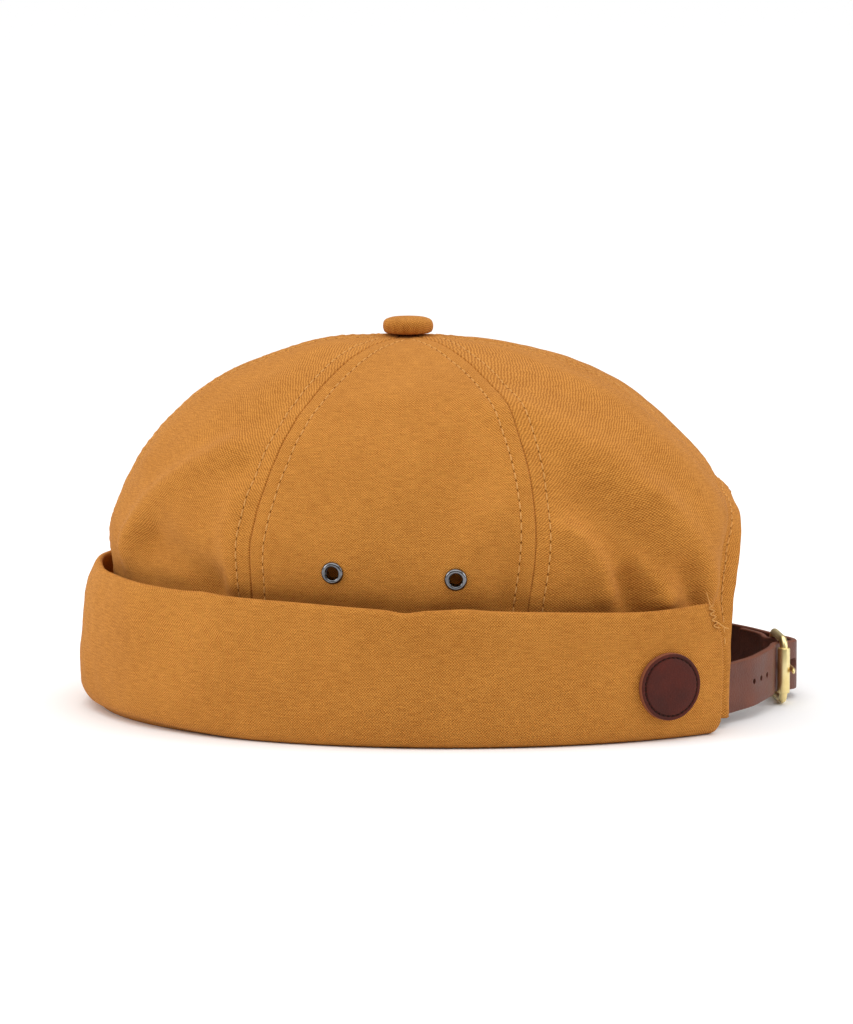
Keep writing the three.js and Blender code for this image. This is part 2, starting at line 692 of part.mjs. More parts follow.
const arch = archTool();
const seats = EYELET_PLACES.map((place) => ({ ...place, ...eyeletSeat(place) }));

PANELS.forEach((name, index) => {
  const [first, last] = [SEAMS[index], SEAMS[index + 1]];
  const holes = seats.filter(({ angle }) => angle > first.angle && angle < last.angle).map(eyeletHole);
  const atRear = name.startsWith("back") ? [arch] : [];
  add(`panel_${name}`, cut(panel(first, last), ...holes, ...atRear), CLOTH_LOOK);
});
add("cuff", cuff(arch), CLOTH_LOOK);
add("button", button(), CLOTH_LOOK);
seats.forEach((seat) => add(`eyelet_${seat.name}`, eyelet(seat), DARK_METAL_LOOK));
add("patch", patch(), PATCH_LOOK);

const tailCurve = strapCurve([...strapAnchor(1, TAIL_ANCHOR_HEIGHT), ...TAIL_PATH]);
const tailHoles = TAIL_HOLES.xs.map((x) => strapHole(tailCurve, x));
add("strap_tail", cut(strap(tailCurve), ...tailHoles, prongSlot(TAIL_SLOT)), LEATHER_LOOK);
add("strap_buckle", cut(strap(buckleStrapCurve()), prongSlot(BUCKLE_STRAP_SLOT)), LEATHER_LOOK);
add("buckle_frame", buckleFrame(), BRASS_LOOK);
add("buckle_roller", buckleRoller(), BRASS_LOOK);
add("buckle_prong", buckleProng(), BRASS_LOOK);

// The origin is the middle of the cap's footprint, on the surface it rests on
const extent = new THREE.Box3().setFromObject(cap);
const middle = extent.getCenter(new THREE.Vector3());
cap.position.set(-middle.x, -middle.y, -extent.min.z);

export default cap;
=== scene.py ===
"""Looks of a brimless canvas cap on its CAD frame: woven gores, turned-up cuff, leather and brass.

Shapes are worked out in millimetres round the middle of the cuff, with the front at -Y, the
wearer's left at +X and up at +Z, and are moved into the frame when a mesh is made.
"""

import math

import bpy
import numpy as np
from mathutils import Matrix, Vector


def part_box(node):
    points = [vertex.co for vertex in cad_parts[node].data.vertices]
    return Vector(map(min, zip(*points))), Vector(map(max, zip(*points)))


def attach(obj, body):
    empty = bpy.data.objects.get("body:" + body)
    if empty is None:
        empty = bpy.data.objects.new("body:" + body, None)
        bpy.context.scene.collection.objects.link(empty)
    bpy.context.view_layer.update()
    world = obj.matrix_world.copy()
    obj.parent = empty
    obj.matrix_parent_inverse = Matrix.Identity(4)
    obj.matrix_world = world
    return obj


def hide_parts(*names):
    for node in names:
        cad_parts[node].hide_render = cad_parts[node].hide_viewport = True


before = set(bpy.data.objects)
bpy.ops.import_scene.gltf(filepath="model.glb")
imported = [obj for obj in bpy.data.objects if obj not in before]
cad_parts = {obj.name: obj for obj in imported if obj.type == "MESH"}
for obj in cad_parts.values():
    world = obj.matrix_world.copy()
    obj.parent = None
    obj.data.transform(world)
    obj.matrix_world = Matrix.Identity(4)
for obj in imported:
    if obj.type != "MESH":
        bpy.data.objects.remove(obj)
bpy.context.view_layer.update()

MM = 0.001
CLOTH = 1.4

# Outer outline of the cuff, an ellipse, and the place of its middle in the frame
HALF_LENGTH = 110.0
HALF_WIDTH = 88.0
MIDDLE_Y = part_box("cuff")[0].y / MM + HALF_LENGTH

# Crown, as in the CAD model, with its cloth carried on down to the fold of the cuff
WALL_INSET = 6.6
REAR_FROM = 76.0
REAR_LIMIT = 85.8
APEX_Y = -12.5
APEX_HEIGHT = 109.7
WIDE_HEIGHT = 46.0
CROWN_FOOT = 12.3
CLOTH_FOOT = 2.9
DOME_SHARE = 0.76
MERIDIAN_LENGTH = 150.0
TOP_SHARE = 0.015
FOOT_SHARE = DOME_SHARE + (1 - DOME_SHARE) * (WIDE_HEIGHT - CLOTH_FOOT) / (WIDE_HEIGHT - CROWN_FOOT)

# The crown draws in above the cuff: by how much, and between which heights
TUCK = 3.2
TUCK_UPPER = (34.0, 58.0)
TUCK_LOWER = (13.0, 30.0)
TUCK_ENDS = (112.0, 126.0)
# A crease in the crown's band beside each end of the cuff
CREASE = 1.7
CREASE_ANGLE = 139.3
CREASE_REACH = 1.0
CREASE_TOP = (34.0, 42.0)

# Folds and hollows of the crown: start and end as (angle, height), reach and height
FOLDS = [
    ((-24, 60), (24, 60), 20, -1.8),
    ((-24, 94), (24, 94), 13, 1.0),
    ((-24, 106), (24, 106), 13, 1.3),
    ((156, 83), (204, 83), 12, -1.1),
    ((35, 106), (46, 80), 7, 1.4),
    ((46, 80), (21, 50), 6, 3.0),
    ((31, 54), (48, 44), 8, -3.8),
    ((52, 68), (52, 44), 5, 2.0),
    ((90, 76), (84, 56), 13, -2.0),
    ((97, 66), (94, 59), 6, 1.8),
    ((99, 54), (99, 42), 6, -2.0),
    ((108, 92), (126, 68), 8, 2.4),
    ((126, 68), (137, 42), 6, 2.4),
    ((114, 68), (122, 50), 10, -3.8),
    ((110, 60), (116, 43), 4.2, 2.8),
    ((121, 52), (126, 40), 4.2, 3.0),
    ((118, 46), (121, 36), 4.2, -2.6),
    ((130, 48), (133, 36), 4.2, -2.6),
    ((250, 92), (232, 64), 10, 1.6),
    ((246, 66), (238, 48), 12, -2.0),
    ((272, 72), (268, 54), 13, -1.6),
    ((318, 84), (336, 52), 10, 1.6),
]

# Irregular waves of the cloth: height, wavelength and seed
CROWN_RIPPLES = [(0.3, 26, 3), (0.1, 9, 4)]
RIPPLE_WAVES = 14
RIPPLE_SPREAD = (0.6, 1.5)

# Seams by angle from the front, with their lean at the button, and the gores between them
SEAMS = [(0, 0), (55.4, 3.2), (100, 9.5), (180, 0), (260, -9.5), (304.6, -3.2), (360, 0)]
GORES = ["front_left", "side_left", "back_left", "back_right", "side_right", "front_right"]
GORE_ROWS = 110
GORE_COLUMNS = 140
EDGE_CROWDING = 0.85
# Small steps over which widths and directions on the crown are measured
LAYOUT_STEP = 0.01
NORMAL_STEP = 1e-3
NEAREST_SHARE = 1e-4

# Arched opening at the rear. Its hem turns outwards, and the crown draws in beside the hem.
ARCH_HALF_WIDTH = 48.6
ARCH_HEIGHT = 62.0
ARCH_POWER = 2.6
ARCH_STEPS = 240
ARCH_SEARCH = 2000
HEM_WIDTH = 5.0
HEM_FLARE = 2.2
HEM_TOP_TUCK = -0.5
HEM_SIDE_TUCK = -3.8
HEM_SIDE_SPAN = (50.0, 64.0)
HEM_TUCK_REACH = 10.0
HEM_TUCK_FADE = (20.0, 42.0)
HEM_FLARE_FADE = (38.0, 62.0)

# Sewing: a seam groove with puffed allowances, and rows of stitches and needle holes beside it
STITCH_PITCH = 3.1
STITCH_LENGTH = 2.3
STITCH_WIDTH = 0.46
STITCH_OFFSET = 4.2
STITCH_PARTS = np.array([-1.0, -0.6, 0.0, 0.6, 1.0])
STITCH_LIFTS = np.array([-0.3, 0.04, 0.1, 0.04, -0.3])
THREAD_SIDES = 6
NEEDLE_HOLE = 0.46
HOLE_PARTS = np.array([-1.0, 0.0, 1.0])
HOLE_FULLNESS = 1.05
PUFF = 0.15
PUFF_FADE = (4.4, 7.0)
GROOVE_DEPTH = 0.4
GROOVE_REACH = 0.22
STITCH_DIP = 0.2
STITCH_DIP_REACH = 0.7
PUCKER = 0.1
PUCKER_REACH = 1.8
HEM_EDGE = 0.8
SEAM_FADE = (0.5 * STITCH_OFFSET, 2 * STITCH_OFFSET)

# Turned-up cuff: the height of its top edge by angle, and the angle, reach and height of small
# bumps and nicks along that edge
CUFF_END = 135.4
CUFF_STATIONS = 340
OUTLINE_STEPS = 4000
INNER_LEG = 5.0
CUFF_TOP = [
    (0, 42.0),
    (25, 42.4),
    (45, 41.4),
    (70, 40.6),
    (84, 39.2),
    (92, 39.5),
    (105, 38.5),
    (121, 37.2),
    (135, 38.2),
]
TOP_SMOOTHING = 5.0
TOP_SMOOTHING_STEPS = 11
TOP_BUMPS = [
    (49, 3.0, 0.5),
    (83, 2.2, -0.8),
    (92, 3.0, 0.4),
    (308, 3.0, 0.4),
    (281, 2.5, -0.6),
]
# Section of the cuff at a reference height: distance inside the outer outline, and height
SECTION_HEIGHT = 40.0
SECTION_STRETCH = (25.0, 34.0)
CUFF_SECTION = [
    (4.6, 0.0),
    (3.2, 0.15),
    (1.7, 0.9),
    (0.7, 2.6),
    (0.2, 6.0),
    (0.0, 12.0),
    (0.0, 18.0),
    (0.2, 25.0),
    (0.6, 34.0),
    (0.8, 37.0),
    (1.1, 38.8),
    (1.7, 39.75),
    (2.4, 40.0),
    (3.1, 39.6),
    (3.5, 38.2),
    (3.5, 34.0),
    (3.2, 25.0),
    (3.0, 18.0),
    (3.0, 10.0),
    (3.3, 5.0),
    (4.1, 2.7),
    (5.2, 2.2),
    (6.1, 2.4),
    (6.6, 2.65),
    (7.3, 2.75),
    (8.0, 2.6),
    (7.9, 1.7),
    (7.2, 0.8),
    (6.0, 0.0),
]
SECTION_REFINE = 3
CUFF_RIPPLES = [(0.35, 44, 21), (0.1, 11, 22)]
RIPPLE_FADE = (0.0, 6.0)
TOP_RIPPLE = (0.5, 38, 23)
TOP_RIPPLE_SPAN = (14.0, 40.0)
TOP_RIPPLE_SQUASH = (1.0, 1.0, 0.2)
END_ROUND = 0.9
END_ROUND_STEPS = 4
# The cuff's ends lean in at the top corner and are rounded at the bottom corner
END_LEAN = 2.8
END_LEAN_SPAN = (27.0, 38.0)
END_CORNER = 1.4
END_CORNER_SPAN = (0.0, 4.0)
END_LEAN_REACH = 9.0
# At the front the upper part of the cuff leans in to the crown
FRONT_LEAN = 3.2
FRONT_LEAN_SPAN = (33.0, 45.0)
FRONT_LEAN_ANGLE = 34.0
# Round the front the outer edge of the bottom fold stands a little off the floor
FRONT_RISE = 1.8
FRONT_RISE_ANGLES = (30.0, 60.0)
FRONT_RISE_HEIGHTS = (0.0, 14.0)
FRONT_RISE_INSETS = (3.0, 6.0)

# Covered button on the apex: radius and height, from the middle of its base to its top
BUTTON_BASE = 110.4
BUTTON_PROFILE = [
    (0.0, 0.0),
    (6.2, 0.0),
    (7.1, 0.5),
    (7.5, 1.6),
    (7.45, 2.8),
    (6.9, 3.9),
    (5.2, 4.65),
    (3.0, 4.9),
    (0.0, 5.0),
]
BUTTON_STEPS = 96
BUTTON_REFINE = 5
BUTTON_CENTRE = 0.02
GATHERS = 17
GATHER_DEPTH = 0.14
GATHER_SPAN = (0.5, 3.6)

# Vent eyelets: radius and height above the cloth round the section of one, and their places
EYELET_PROFILE = [
    (1.85, -2.2),
    (1.8, 0.3),
    (1.95, 0.75),
    (2.3, 1.0),
    (2.7, 0.95),
    (3.05, 0.65),
    (3.25, 0.25),
    (3.2, 0.0),
    (2.1, -0.05),
    (2.05, -1.5),
    (2.8, -1.55),
    (2.75, -2.1),
]
EYELET_HOLE = 2.0
EYELET_HOLE_DEPTH = 5.6
EYELET_STEPS = 40
EYELET_PLACES = {
    "left_front": (71.0, 48.8),
    "left_rear": (90.7, 47.5),
    "right_front": (289.0, 48.8),
    "right_rear": (269.3, 47.5),
}
SEAT_STEP = 0.035

# Leather patch: place on the cuff, and share of the radius and lift round its section
PATCH_ANGLE = 124.3
PATCH_HEIGHT = 15.8
PATCH_RADIUS = 9.7
PATCH_STEPS = 120
PATCH_REFINE = 3
PATCH_CENTRE = 1e-4
PATCH_PROFILE = [
    (0.0, 0.0),
    (0.5, 0.0),
    (0.96, 0.0),
    (0.99, 0.4),
    (1.0, 1.1),
    (0.985, 1.6),
    (0.955, 1.8),
    (0.91, 1.78),
    (0.885, 1.55),
    (0.865, 1.45),
    (0.845, 1.55),
    (0.82, 1.8),
    (0.7, 1.88),
    (0.4, 1.93),
    (0.02, 1.93),
    (0.0, 1.93),
]
PATCH_EDGE = (1.5, 1.75)
PATCH_EDGE_FROM = 0.925
PATCH_RING = 0.865
PATCH_STITCHES = 34
PATCH_STITCH_SHARE = 0.62
PATCH_STITCH_LIFT = 1.5
PATCH_OUTWARDS = 9.0

# Strap in two lengths that meet at the buckle: X and Y seen from above, and the height of its middle
STRAP_WIDTH = 14.8
STRAP_THICKNESS = 1.8
STRAP_ROUND = 0.55
STRAP_CLEARANCE = 1.9
STRAP_STATIONS = 160
STRAP_REFINE = 12
STRAP_FACE_STEPS = 22
STRAP_ROUND_STEPS = 4
ANCHOR_ANGLES = (128, 132, 136, 139)
TAIL_ANCHOR_HEIGHT = 10.3
TAIL_PATH = [
    (44, 80.6, 10.5),
    (39, 84.4, 10.7),
    (34, 88.0, 10.9),
    (26, 91.8, 11.2),
    (17, 95.1, 11.4),
    (11.2, 96.1, 11.3),
    (6.5, 97.6, 11.0),
    (1.5, 100.8, 10.5),
    (-3.5, 103.3, 10.0),
    (-8.5, 103.7, 9.7),
    (-14.5, 102.2, 9.4),
    (-22, 98.9, 9.2),
    (-29, 95.4, 9.0),
]
TAIL_ROUND = 6.0
TAIL_TIP = 0.02
TAIL_HOLES = (33.4, 28.6, 23.8, -16.0, -22.5)
HOLE_RADIUS = 0.8
HOLE_DEPTH = 7.2
BUCKLE_ANCHOR_HEIGHT = 9.9
BUCKLE_STRAP_PATH = [
    (-44, 80.6, 10.0),
    (-40, 83.8, 10.1),
    (-35, 87.4, 10.2),
    (-28, 91.6, 10.3),
    (-18, 96.2, 10.5),
    (-13, 98.3, 10.6),
]
FOLD_BACK_PATH = [(-12.5, 94.6, 10.6), (-17.4, 93.2, 10.5), (-25.6, 89.4, 10.4)]
WRAP_TURNS = (112.0, -85.0)
WRAP_STEPS = 10
WRAP_RADIUS = 2.6
WRAP_HEIGHT = 10.6

# Roller buckle in its own frame: the hinge bar at -span, the roller at +span
BUCKLE_PLACE = (1.7, 98.5, 10.5)
BUCKLE_TURN = 5.5
BUCKLE_SPAN = 9.3
BUCKLE_RISE = 9.0
BUCKLE_BAR = 1.2
BUCKLE_CORNER = 2.6
CORNER_STEPS = 9
BAR_SIDES = 24
ROLLER_PROFILE = [
    (1.5, -6.6),
    (1.5, 6.6),
    (1.6, 6.8),
    (1.75, 6.75),
    (1.85, 6.5),
    (1.85, -6.5),
    (1.75, -6.75),
    (1.6, -6.8),
]
ROLLER_STEPS = 48
PRONG_LOOP_TURNS = (-50.0, -310.0)
PRONG_LOOP_RADIUS = 2.05
PRONG_LOOP_STEPS = 9
PRONG_REFINE = 8
PRONG_ARM = [(-5.6, 1.6), (-3.0, 2.3), (3.0, 2.75), (9.3, 2.95), (11.0, 2.75), (12.0, 2.45)]
PRONG_HALF_WIDTH = 1.15
PRONG_HALF_THICK = 0.6
PRONG_TAPER = 0.25
PRONG_TIP = 1.2
PRONG_TIP_SHARE = 0.04
PRONG_CLEARANCE = 0.6
PRONG_SLOT_DEPTH = 12.0
PRONG_SLOT_TAIL = (-4.4, 2.4)
PRONG_SLOT_BUCKLE = (-14.0, -1.5)

# Bar tacks where the cuff's ends are sewn down
TACK_HEIGHTS = (31.0, 37.8)
TACK_SWINGS = 9
TACK_WIDTH = 1.5
TACK_FROM_END = 1.2
TACK_RADIUS = 0.17
TACK_REFINE = 5
TACK_OUTWARDS = np.array((1.0, 0.3, 0.0))
# Loose threads of a bar tack: distance from the cuff's end, height and lift
LOOSE_THREADS = [
    [(0.9, 33.0, 0.2), (0.3, 32.3, 0.6), (-0.6, 31.2, 0.9), (-1.8, 30.6, 0.6)],
    [(1.4, 37.6, 0.1), (0.6, 38.6, -1.2), (-0.6, 40.8, -3.0)],
]

# Bodies to cut holes with, and how upright an axis may be before its helper direction changes
PEG_STEPS = 24
PEG_CORE = 1e-3
UPRIGHT = 0.9

# Colours of the materials from dark to light, the tone of bare cut leather edges, on the strap partly a
# painted highlight, and roughness
CANVAS_TONES = [(0.28, 0.088, 0.01, 1), (0.7, 0.303, 0.058, 1)]
THREAD_TONES = [(0.54, 0.25, 0.06, 1), (0.72, 0.37, 0.115, 1)]
# Needle holes: a dark canvas tone, painted shade inside the holes
PIT_SHADE_TONES = [(0.12, 0.036, 0.005, 1), (0.2, 0.065, 0.01, 1)]
DARK_THREAD_TONES = [(0.02, 0.008, 0.006, 1), (0.05, 0.02, 0.015, 1)]
PATCH_TONES = [(0.052, 0.0085, 0.005, 1), (0.1, 0.016, 0.009, 1)]
PATCH_RAW = (0.26, 0.085, 0.04, 1)
STRAP_TONES = [(0.11, 0.037, 0.024, 1), (0.19, 0.068, 0.044, 1)]
# Strap edges: lighter cut leather, partly a painted highlight
STRAP_RAW_AND_HIGHLIGHT = (0.2, 0.065, 0.035, 1)
BRASS_TONES = [(0.86, 0.69, 0.3, 1), (0.95, 0.8, 0.42, 1)]
GUNMETAL_TONES = [(0.07, 0.07, 0.075, 1), (0.22, 0.22, 0.23, 1)]
CANVAS_ROUGHNESS = 0.9
THREAD_ROUGHNESS = 0.8
PATCH_ROUGHNESS = 0.6
STRAP_ROUGHNESS = 0.5
BRASS_ROUGHNESS = 0.36
GUNMETAL_ROUGHNESS = 0.16
CLOTH_SPECULAR = 0.1
LEATHER_SPECULAR = 0.2

# Noises: the range that they mostly keep to, and levels of detail
NOISE_RANGE = (0.3, 0.7)
PLAIN = 2.0
GRAINY = 3.0
CLOUDY = 4.0

# Sockets of a Mix node for colours
MIX_FACTOR = 0
MIX_FIRST = 6
MIX_SECOND = 7
MIX_RESULT = 2

# Weave of the canvas, in millimetres of cloth; a bump is a distance in metres and a strength
YARN_PITCH = 0.39
YARN_WANDER = (0.9, 0.9, 0.0)
WANDER_SCALE = 0.5
SLUB_LENGTH = 0.25
SLUB_WIDTH = 2.2
SLUB_TONE = 0.22
WEFT_SHARE = 0.7
# Lighter and darker crossings of the weave: partly the yarns' own colour, partly painted shade of the
# yarns' tilt
CROSSING_COLOUR_AND_SHADE = 0.55
MOTTLE_SCALE = 0.04
MOTTLE_TONES = (0.42, 0.58)
OVER_HEIGHT = 0.5
WEAVE_BUMP = (0.0001, 0.6)
SHEEN = 0.03
SHEEN_ROUGHNESS = 0.5

# Grain of leather, metal and thread, in waves to a metre
LEATHER_CLOUD = 120.0
LEATHER_CLOUD_TONE = 0.8
LEATHER_GRAIN = 1600.0
LEATHER_PORES = 2600.0
PORE_TONE = 0.15
PORE_HEIGHT = 0.6
LEATHER_BUMP = (0.00015, 0.5)
LEATHER_GLOSS = (-0.08, 0.1)
TARNISH = 300.0
SCRATCH_STRETCH = (400.0, 400.0, 9000.0)
SCRATCH_BUMP = (0.00003, 0.3)
METAL_GLOSS = (-0.06, 0.12)
FIBRES = 4000.0
FIBRE_BUMP = (0.00005, 0.4)

# Studio, in metres: floor, world, overhead light and two soft lights with their watts
FLOOR_HALF = 30.0
FLOOR_CORNERS = [(-1, -1), (1, -1), (1, 1), (-1, 1)]
FLOOR_COLOUR = (0.97, 0.97, 0.97, 1)
FLOOR_ROUGHNESS = 0.9
WORLD_STRENGTH = 0.2
OVERHEAD_STRENGTH = 2.76
OVERHEAD_ANGLE = 90.0
SOFT_LIGHTS = {"left": ((0.35, -1.5, 0.8), 11.5), "right": ((0.25, 1.5, 0.7), 9.0)}
SOFT_LIGHT_SIZE = 1.0
SOFT_LIGHT_TARGET = Vector((0.0, 0.0, 0.05))

# Camera at the photo's viewpoint, in millimetres and degrees
CAMERA_TARGET = (0.0, -7.0, 56.65)
CAMERA_DISTANCE = 1400.0
CAMERA_ELEVATION = 7.2
CAMERA_AZIMUTH = 90.0
CAMERA_LENS = 164.6
CAMERA_SENSOR = 36.0
CAMERA_REACH = 100.0


# Shape of the crown

def outline(theta, inset=0.0):
    """X and Y of the cuff's outer ellipse at angles from the front in radians, moved inwards."""
    normal_x = HALF_LENGTH * np.sin(theta)
    normal_y = -HALF_WIDTH * np.cos(theta)
    size = np.hypot(normal_x, normal_y)
    x = HALF_WIDTH * np.sin(theta) - inset * normal_x / size
    y = -HALF_LENGTH * np.cos(theta) - inset * normal_y / size
    return x, y


def wall(theta, inset):
    """The same outline for the crown's wall, whose rear is flattened."""
    x, y = outline(theta, inset)
    span = REAR_LIMIT - REAR_FROM
    beyond = np.maximum(y - REAR_FROM, 0)
    return x, np.where(y > REAR_FROM, REAR_FROM + span * (1 - np.exp(-beyond / span)), y)


def plain_crown(theta, share):
    """Points of the crown without folds. The share runs from 0 at the apex past 1 at the cuff."""
    theta, share = np.broadcast_arrays(theta, share)
    x, y = wall(theta, WALL_INSET)
    turn = np.clip(share / DOME_SHARE, 0, 1) * math.pi / 2
    reach = np.sin(turn)
    below = np.maximum(share - DOME_SHARE, 0) / (1 - DOME_SHARE)
    z = WIDE_HEIGHT + (APEX_HEIGHT - WIDE_HEIGHT) * np.cos(turn) - (WIDE_HEIGHT - CROWN_FOOT) * below
    return np.stack([x * reach, APEX_Y + (y - APEX_Y) * reach, z], -1)


def share_at_height(z):
    z = np.asarray(z, float)
    rise = np.clip((z - WIDE_HEIGHT) / (APEX_HEIGHT - WIDE_HEIGHT), 0, 1)
    dome = DOME_SHARE * np.arccos(rise) / (math.pi / 2)
    below = DOME_SHARE + (1 - DOME_SHARE) * (WIDE_HEIGHT - z) / (WIDE_HEIGHT - CROWN_FOOT)
    return np.where(z < WIDE_HEIGHT, below, dome)


def crown_normal(theta, share):
    along = plain_crown(theta + NORMAL_STEP, share) - plain_crown(theta - NORMAL_STEP, share)
    above = np.maximum(share - NORMAL_STEP, NEAREST_SHARE)
    down = plain_crown(theta, share + NORMAL_STEP) - plain_crown(theta, above)
    normal = np.cross(down, along)
    return normal / np.linalg.norm(normal, axis=-1, keepdims=True)


def flat_disc(theta, share):
    """The crown laid flat round the apex, in which a fold is a straight line."""
    return MERIDIAN_LENGTH * np.asarray(share)[..., None] * np.stack([np.sin(theta), -np.cos(theta)], -1)


def line_distance(place, start, end):
    along = end - start
    part = np.clip((place - start) @ along / (along @ along), 0, 1)
    return np.linalg.norm(place - start - part[..., None] * along, axis=-1)


def fold_height(theta, share):
    place = flat_disc(theta, share)
    total = np.zeros(place.shape[:-1])
    for start, end, reach, height in FOLDS:
        ends = [flat_disc(math.radians(angle), share_at_height(z)) for angle, z in (start, end)]
        total += height * np.exp(-((line_distance(place, *ends) / reach) ** 2))
    return total


def smoothstep(x, low, high):
    t = np.clip((x - low) / (high - low), 0, 1)
    return t * t * (3 - 2 * t)


def hem_lift(points):
    """How far the hem of the rear arch turns out, and the crown beside it draws in."""
    x, y, z = np.moveaxis(points, -1, 0)
    size = np.abs(x / ARCH_HALF_WIDTH) ** ARCH_POWER + np.abs(z / ARCH_HEIGHT) ** ARCH_POWER
    outside = np.maximum(size ** (1 / ARCH_POWER) - 1, 0) * (ARCH_HALF_WIDTH + ARCH_HEIGHT) / 2
    flare = HEM_FLARE * smoothstep(z, *HEM_FLARE_FADE)
    tuck = HEM_SIDE_TUCK + (HEM_TOP_TUCK - HEM_SIDE_TUCK) * smoothstep(z, *HEM_SIDE_SPAN)
    tuck = tuck * smoothstep(z, *HEM_TUCK_FADE)
    turned = flare + (tuck - flare) * outside / HEM_WIDTH
    drawn = tuck * np.exp(-(((outside - HEM_WIDTH) / HEM_TUCK_REACH) ** 2))
    return np.where(y > 0, np.where(outside < HEM_WIDTH, turned, drawn), 0)


def ripple(points, height, wavelength, seed):
    """Smooth irregular waves through space, of about the given height."""
    rng = np.random.default_rng(seed)
    directions = rng.normal(size=(RIPPLE_WAVES, 3))
    directions *= 2 * math.pi / wavelength / np.linalg.norm(directions, axis=1, keepdims=True)
    directions *= rng.uniform(*RIPPLE_SPREAD, (RIPPLE_WAVES, 1))
    phases = rng.uniform(0, 2 * math.pi, RIPPLE_WAVES)
    return height * np.sin(points @ directions.T + phases).sum(-1) / math.sqrt(RIPPLE_WAVES)


def crown(theta, share, relief=0.0):
    """Points of the folded crown, raised by a relief along the outward direction."""
    points = plain_crown(theta, share)
    turned = np.degrees(np.abs(np.arctan2(np.sin(theta), np.cos(theta))))
    z = points[..., 2]
    tuck = TUCK * smoothstep(z, *TUCK_LOWER) * (1 - smoothstep(z, *TUCK_UPPER))
    tuck = tuck * (1 - smoothstep(turned, *TUCK_ENDS))
    crease = CREASE * np.exp(-(((turned - CREASE_ANGLE) / CREASE_REACH) ** 2))
    tuck = tuck + crease * (1 - smoothstep(z, *CREASE_TOP))
    lift = fold_height(theta, share) + hem_lift(points) - tuck + relief
    lift = lift + sum(ripple(points, *row) for row in CROWN_RIPPLES)
    return points + crown_normal(theta, share) * lift[..., None]


# Outline of the rear arch on the crown

def arch_on_crown(widen, steps):
    """Angle and share along the left half of the arch, from its foot to its top, widened by a margin."""
    t = np.linspace(0, math.pi / 2, steps)
    x = (ARCH_HALF_WIDTH + widen) * np.cos(t) ** (2 / ARCH_POWER)
    z = (ARCH_HEIGHT + widen) * np.sin(t) ** (2 / ARCH_POWER)
    rise = np.clip((z - WIDE_HEIGHT) / (APEX_HEIGHT - WIDE_HEIGHT), 0, 1)
    foot_x = x / np.sqrt(1 - rise**2)
    angles = np.linspace(math.pi / 2, math.pi, ARCH_SEARCH)
    theta = np.interp(-foot_x, -wall(angles, WALL_INSET)[0], angles)
    share = share_at_height(z)
    keep = share < FOOT_SHARE
    return theta[keep], share[keep]


def crowded(steps):
    """Numbers from 0 to 1 that crowd towards both ends."""
    t = np.linspace(0, 1, steps + 1)
    return t - EDGE_CROWDING * np.sin(2 * math.pi * t) / (2 * math.pi)


def lower_edge(first, last, at_arch):
    """Angle and share of each column's lower end: along the cuff, and up the arch on a rear gore."""
    part = crowded(GORE_COLUMNS)
    if not at_arch:
        return first + (last - first) * part, np.full_like(part, FOOT_SHARE)
    arch_theta, arch_share = arch_on_crown(0.0, ARCH_STEPS)
    foot_theta = np.linspace(first, arch_theta[0], ARCH_STEPS)[:-1]
    theta = np.concatenate([foot_theta, arch_theta])
    share = np.concatenate([np.full_like(foot_theta, FOOT_SHARE), arch_share])
    distances = travelled(plain_crown(theta, share))
    wanted = part * distances[-1]
    return np.interp(wanted, distances, theta), np.interp(wanted, distances, share)


# Meshes

def unit(vectors):
    return vectors / np.linalg.norm(vectors, axis=-1, keepdims=True)


def smooth_curve(points, refine, closed=False):
    """Points along a centripetal Catmull-Rom curve through the given ones, a number to each span."""
    points = np.asarray(points, float)
    before, after = 2 * points[:1] - points[1:2], 2 * points[-1:] - points[-2:-1]
    if closed:
        before, after = points[-1:], points[:2]
    ring = np.concatenate([before, points, after])
    part = np.linspace(0, 1, refine, endpoint=False)[:, None]
    spans = []
    for a, b, c, d in zip(ring, ring[1:], ring[2:], ring[3:]):
        steps = [math.sqrt(np.linalg.norm(q - p)) for p, q in ((a, b), (b, c), (c, d))]
        k0, k1, k2, k3 = np.cumsum([0.0] + steps)
        t = k1 + (k2 - k1) * part
        ab = a + (b - a) * (t - k0) / (k1 - k0)
        bc = b + (c - b) * (t - k1) / (k2 - k1)
        cd = c + (d - c) * (t - k2) / (k3 - k2)
        abc = ab + (bc - ab) * (t - k0) / (k2 - k0)
        bcd = bc + (cd - bc) * (t - k1) / (k3 - k1)
        spans.append(abc + (bcd - abc) * (t - k1) / (k2 - k1))
    if not closed:
        spans.append(points[-1:])
    return np.concatenate(spans)


def travelled(points):
    """Distance along a line at each of its points."""
    return np.concatenate([[0], np.cumsum(np.linalg.norm(np.diff(points, axis=0), axis=1))])


def at_distances(values, distances, wanted):
    """Values given along a line, taken at wanted distances along it."""
    return np.stack([np.interp(wanted, distances, column) for column in np.transpose(values)], -1)


def grid_faces(rows, columns, offset=0, flip=False):
    """Quads of a grid of rows by columns of points."""
    first = np.arange(rows - 1)[:, None] * columns + np.arange(columns - 1)[None, :] + offset
    corners = [first, first + 1, first + columns + 1, first + columns]
    if flip:
        corners.reverse()
    return np.stack(corners, -1).reshape(-1, 4)


def loop_faces(stations, count, closed=False):
    """Quads between rings of points, one ring after another."""
    rows = np.arange(stations if closed else stations - 1)[:, None]
    columns = np.arange(count)[None, :]
    here = rows * count
    ahead = ((rows + 1) % stations) * count
    side = (columns + 1) % count
    return np.stack([here + columns, ahead + columns, ahead + side, here + side], -1).reshape(-1, 4)


def capped_faces(stations, count):
    """The same quads with a face across each end."""
    last = (stations - 1) * count
    ends = [list(range(count))[::-1], list(range(last, last + count))]
    return loop_faces(stations, count).tolist() + ends


def signed_volume(points, faces):
    triangles = [(face[0], b, c) for face in faces for b, c in zip(face[1:], face[2:])]
    first, second, third = np.moveaxis(points[np.array(triangles)], 1, 0)
    return (first * np.cross(second, third)).sum() / 6


def add_object(name, data):
    thing = bpy.data.objects.new(name, data)
    bpy.context.scene.collection.objects.link(thing)
    return thing


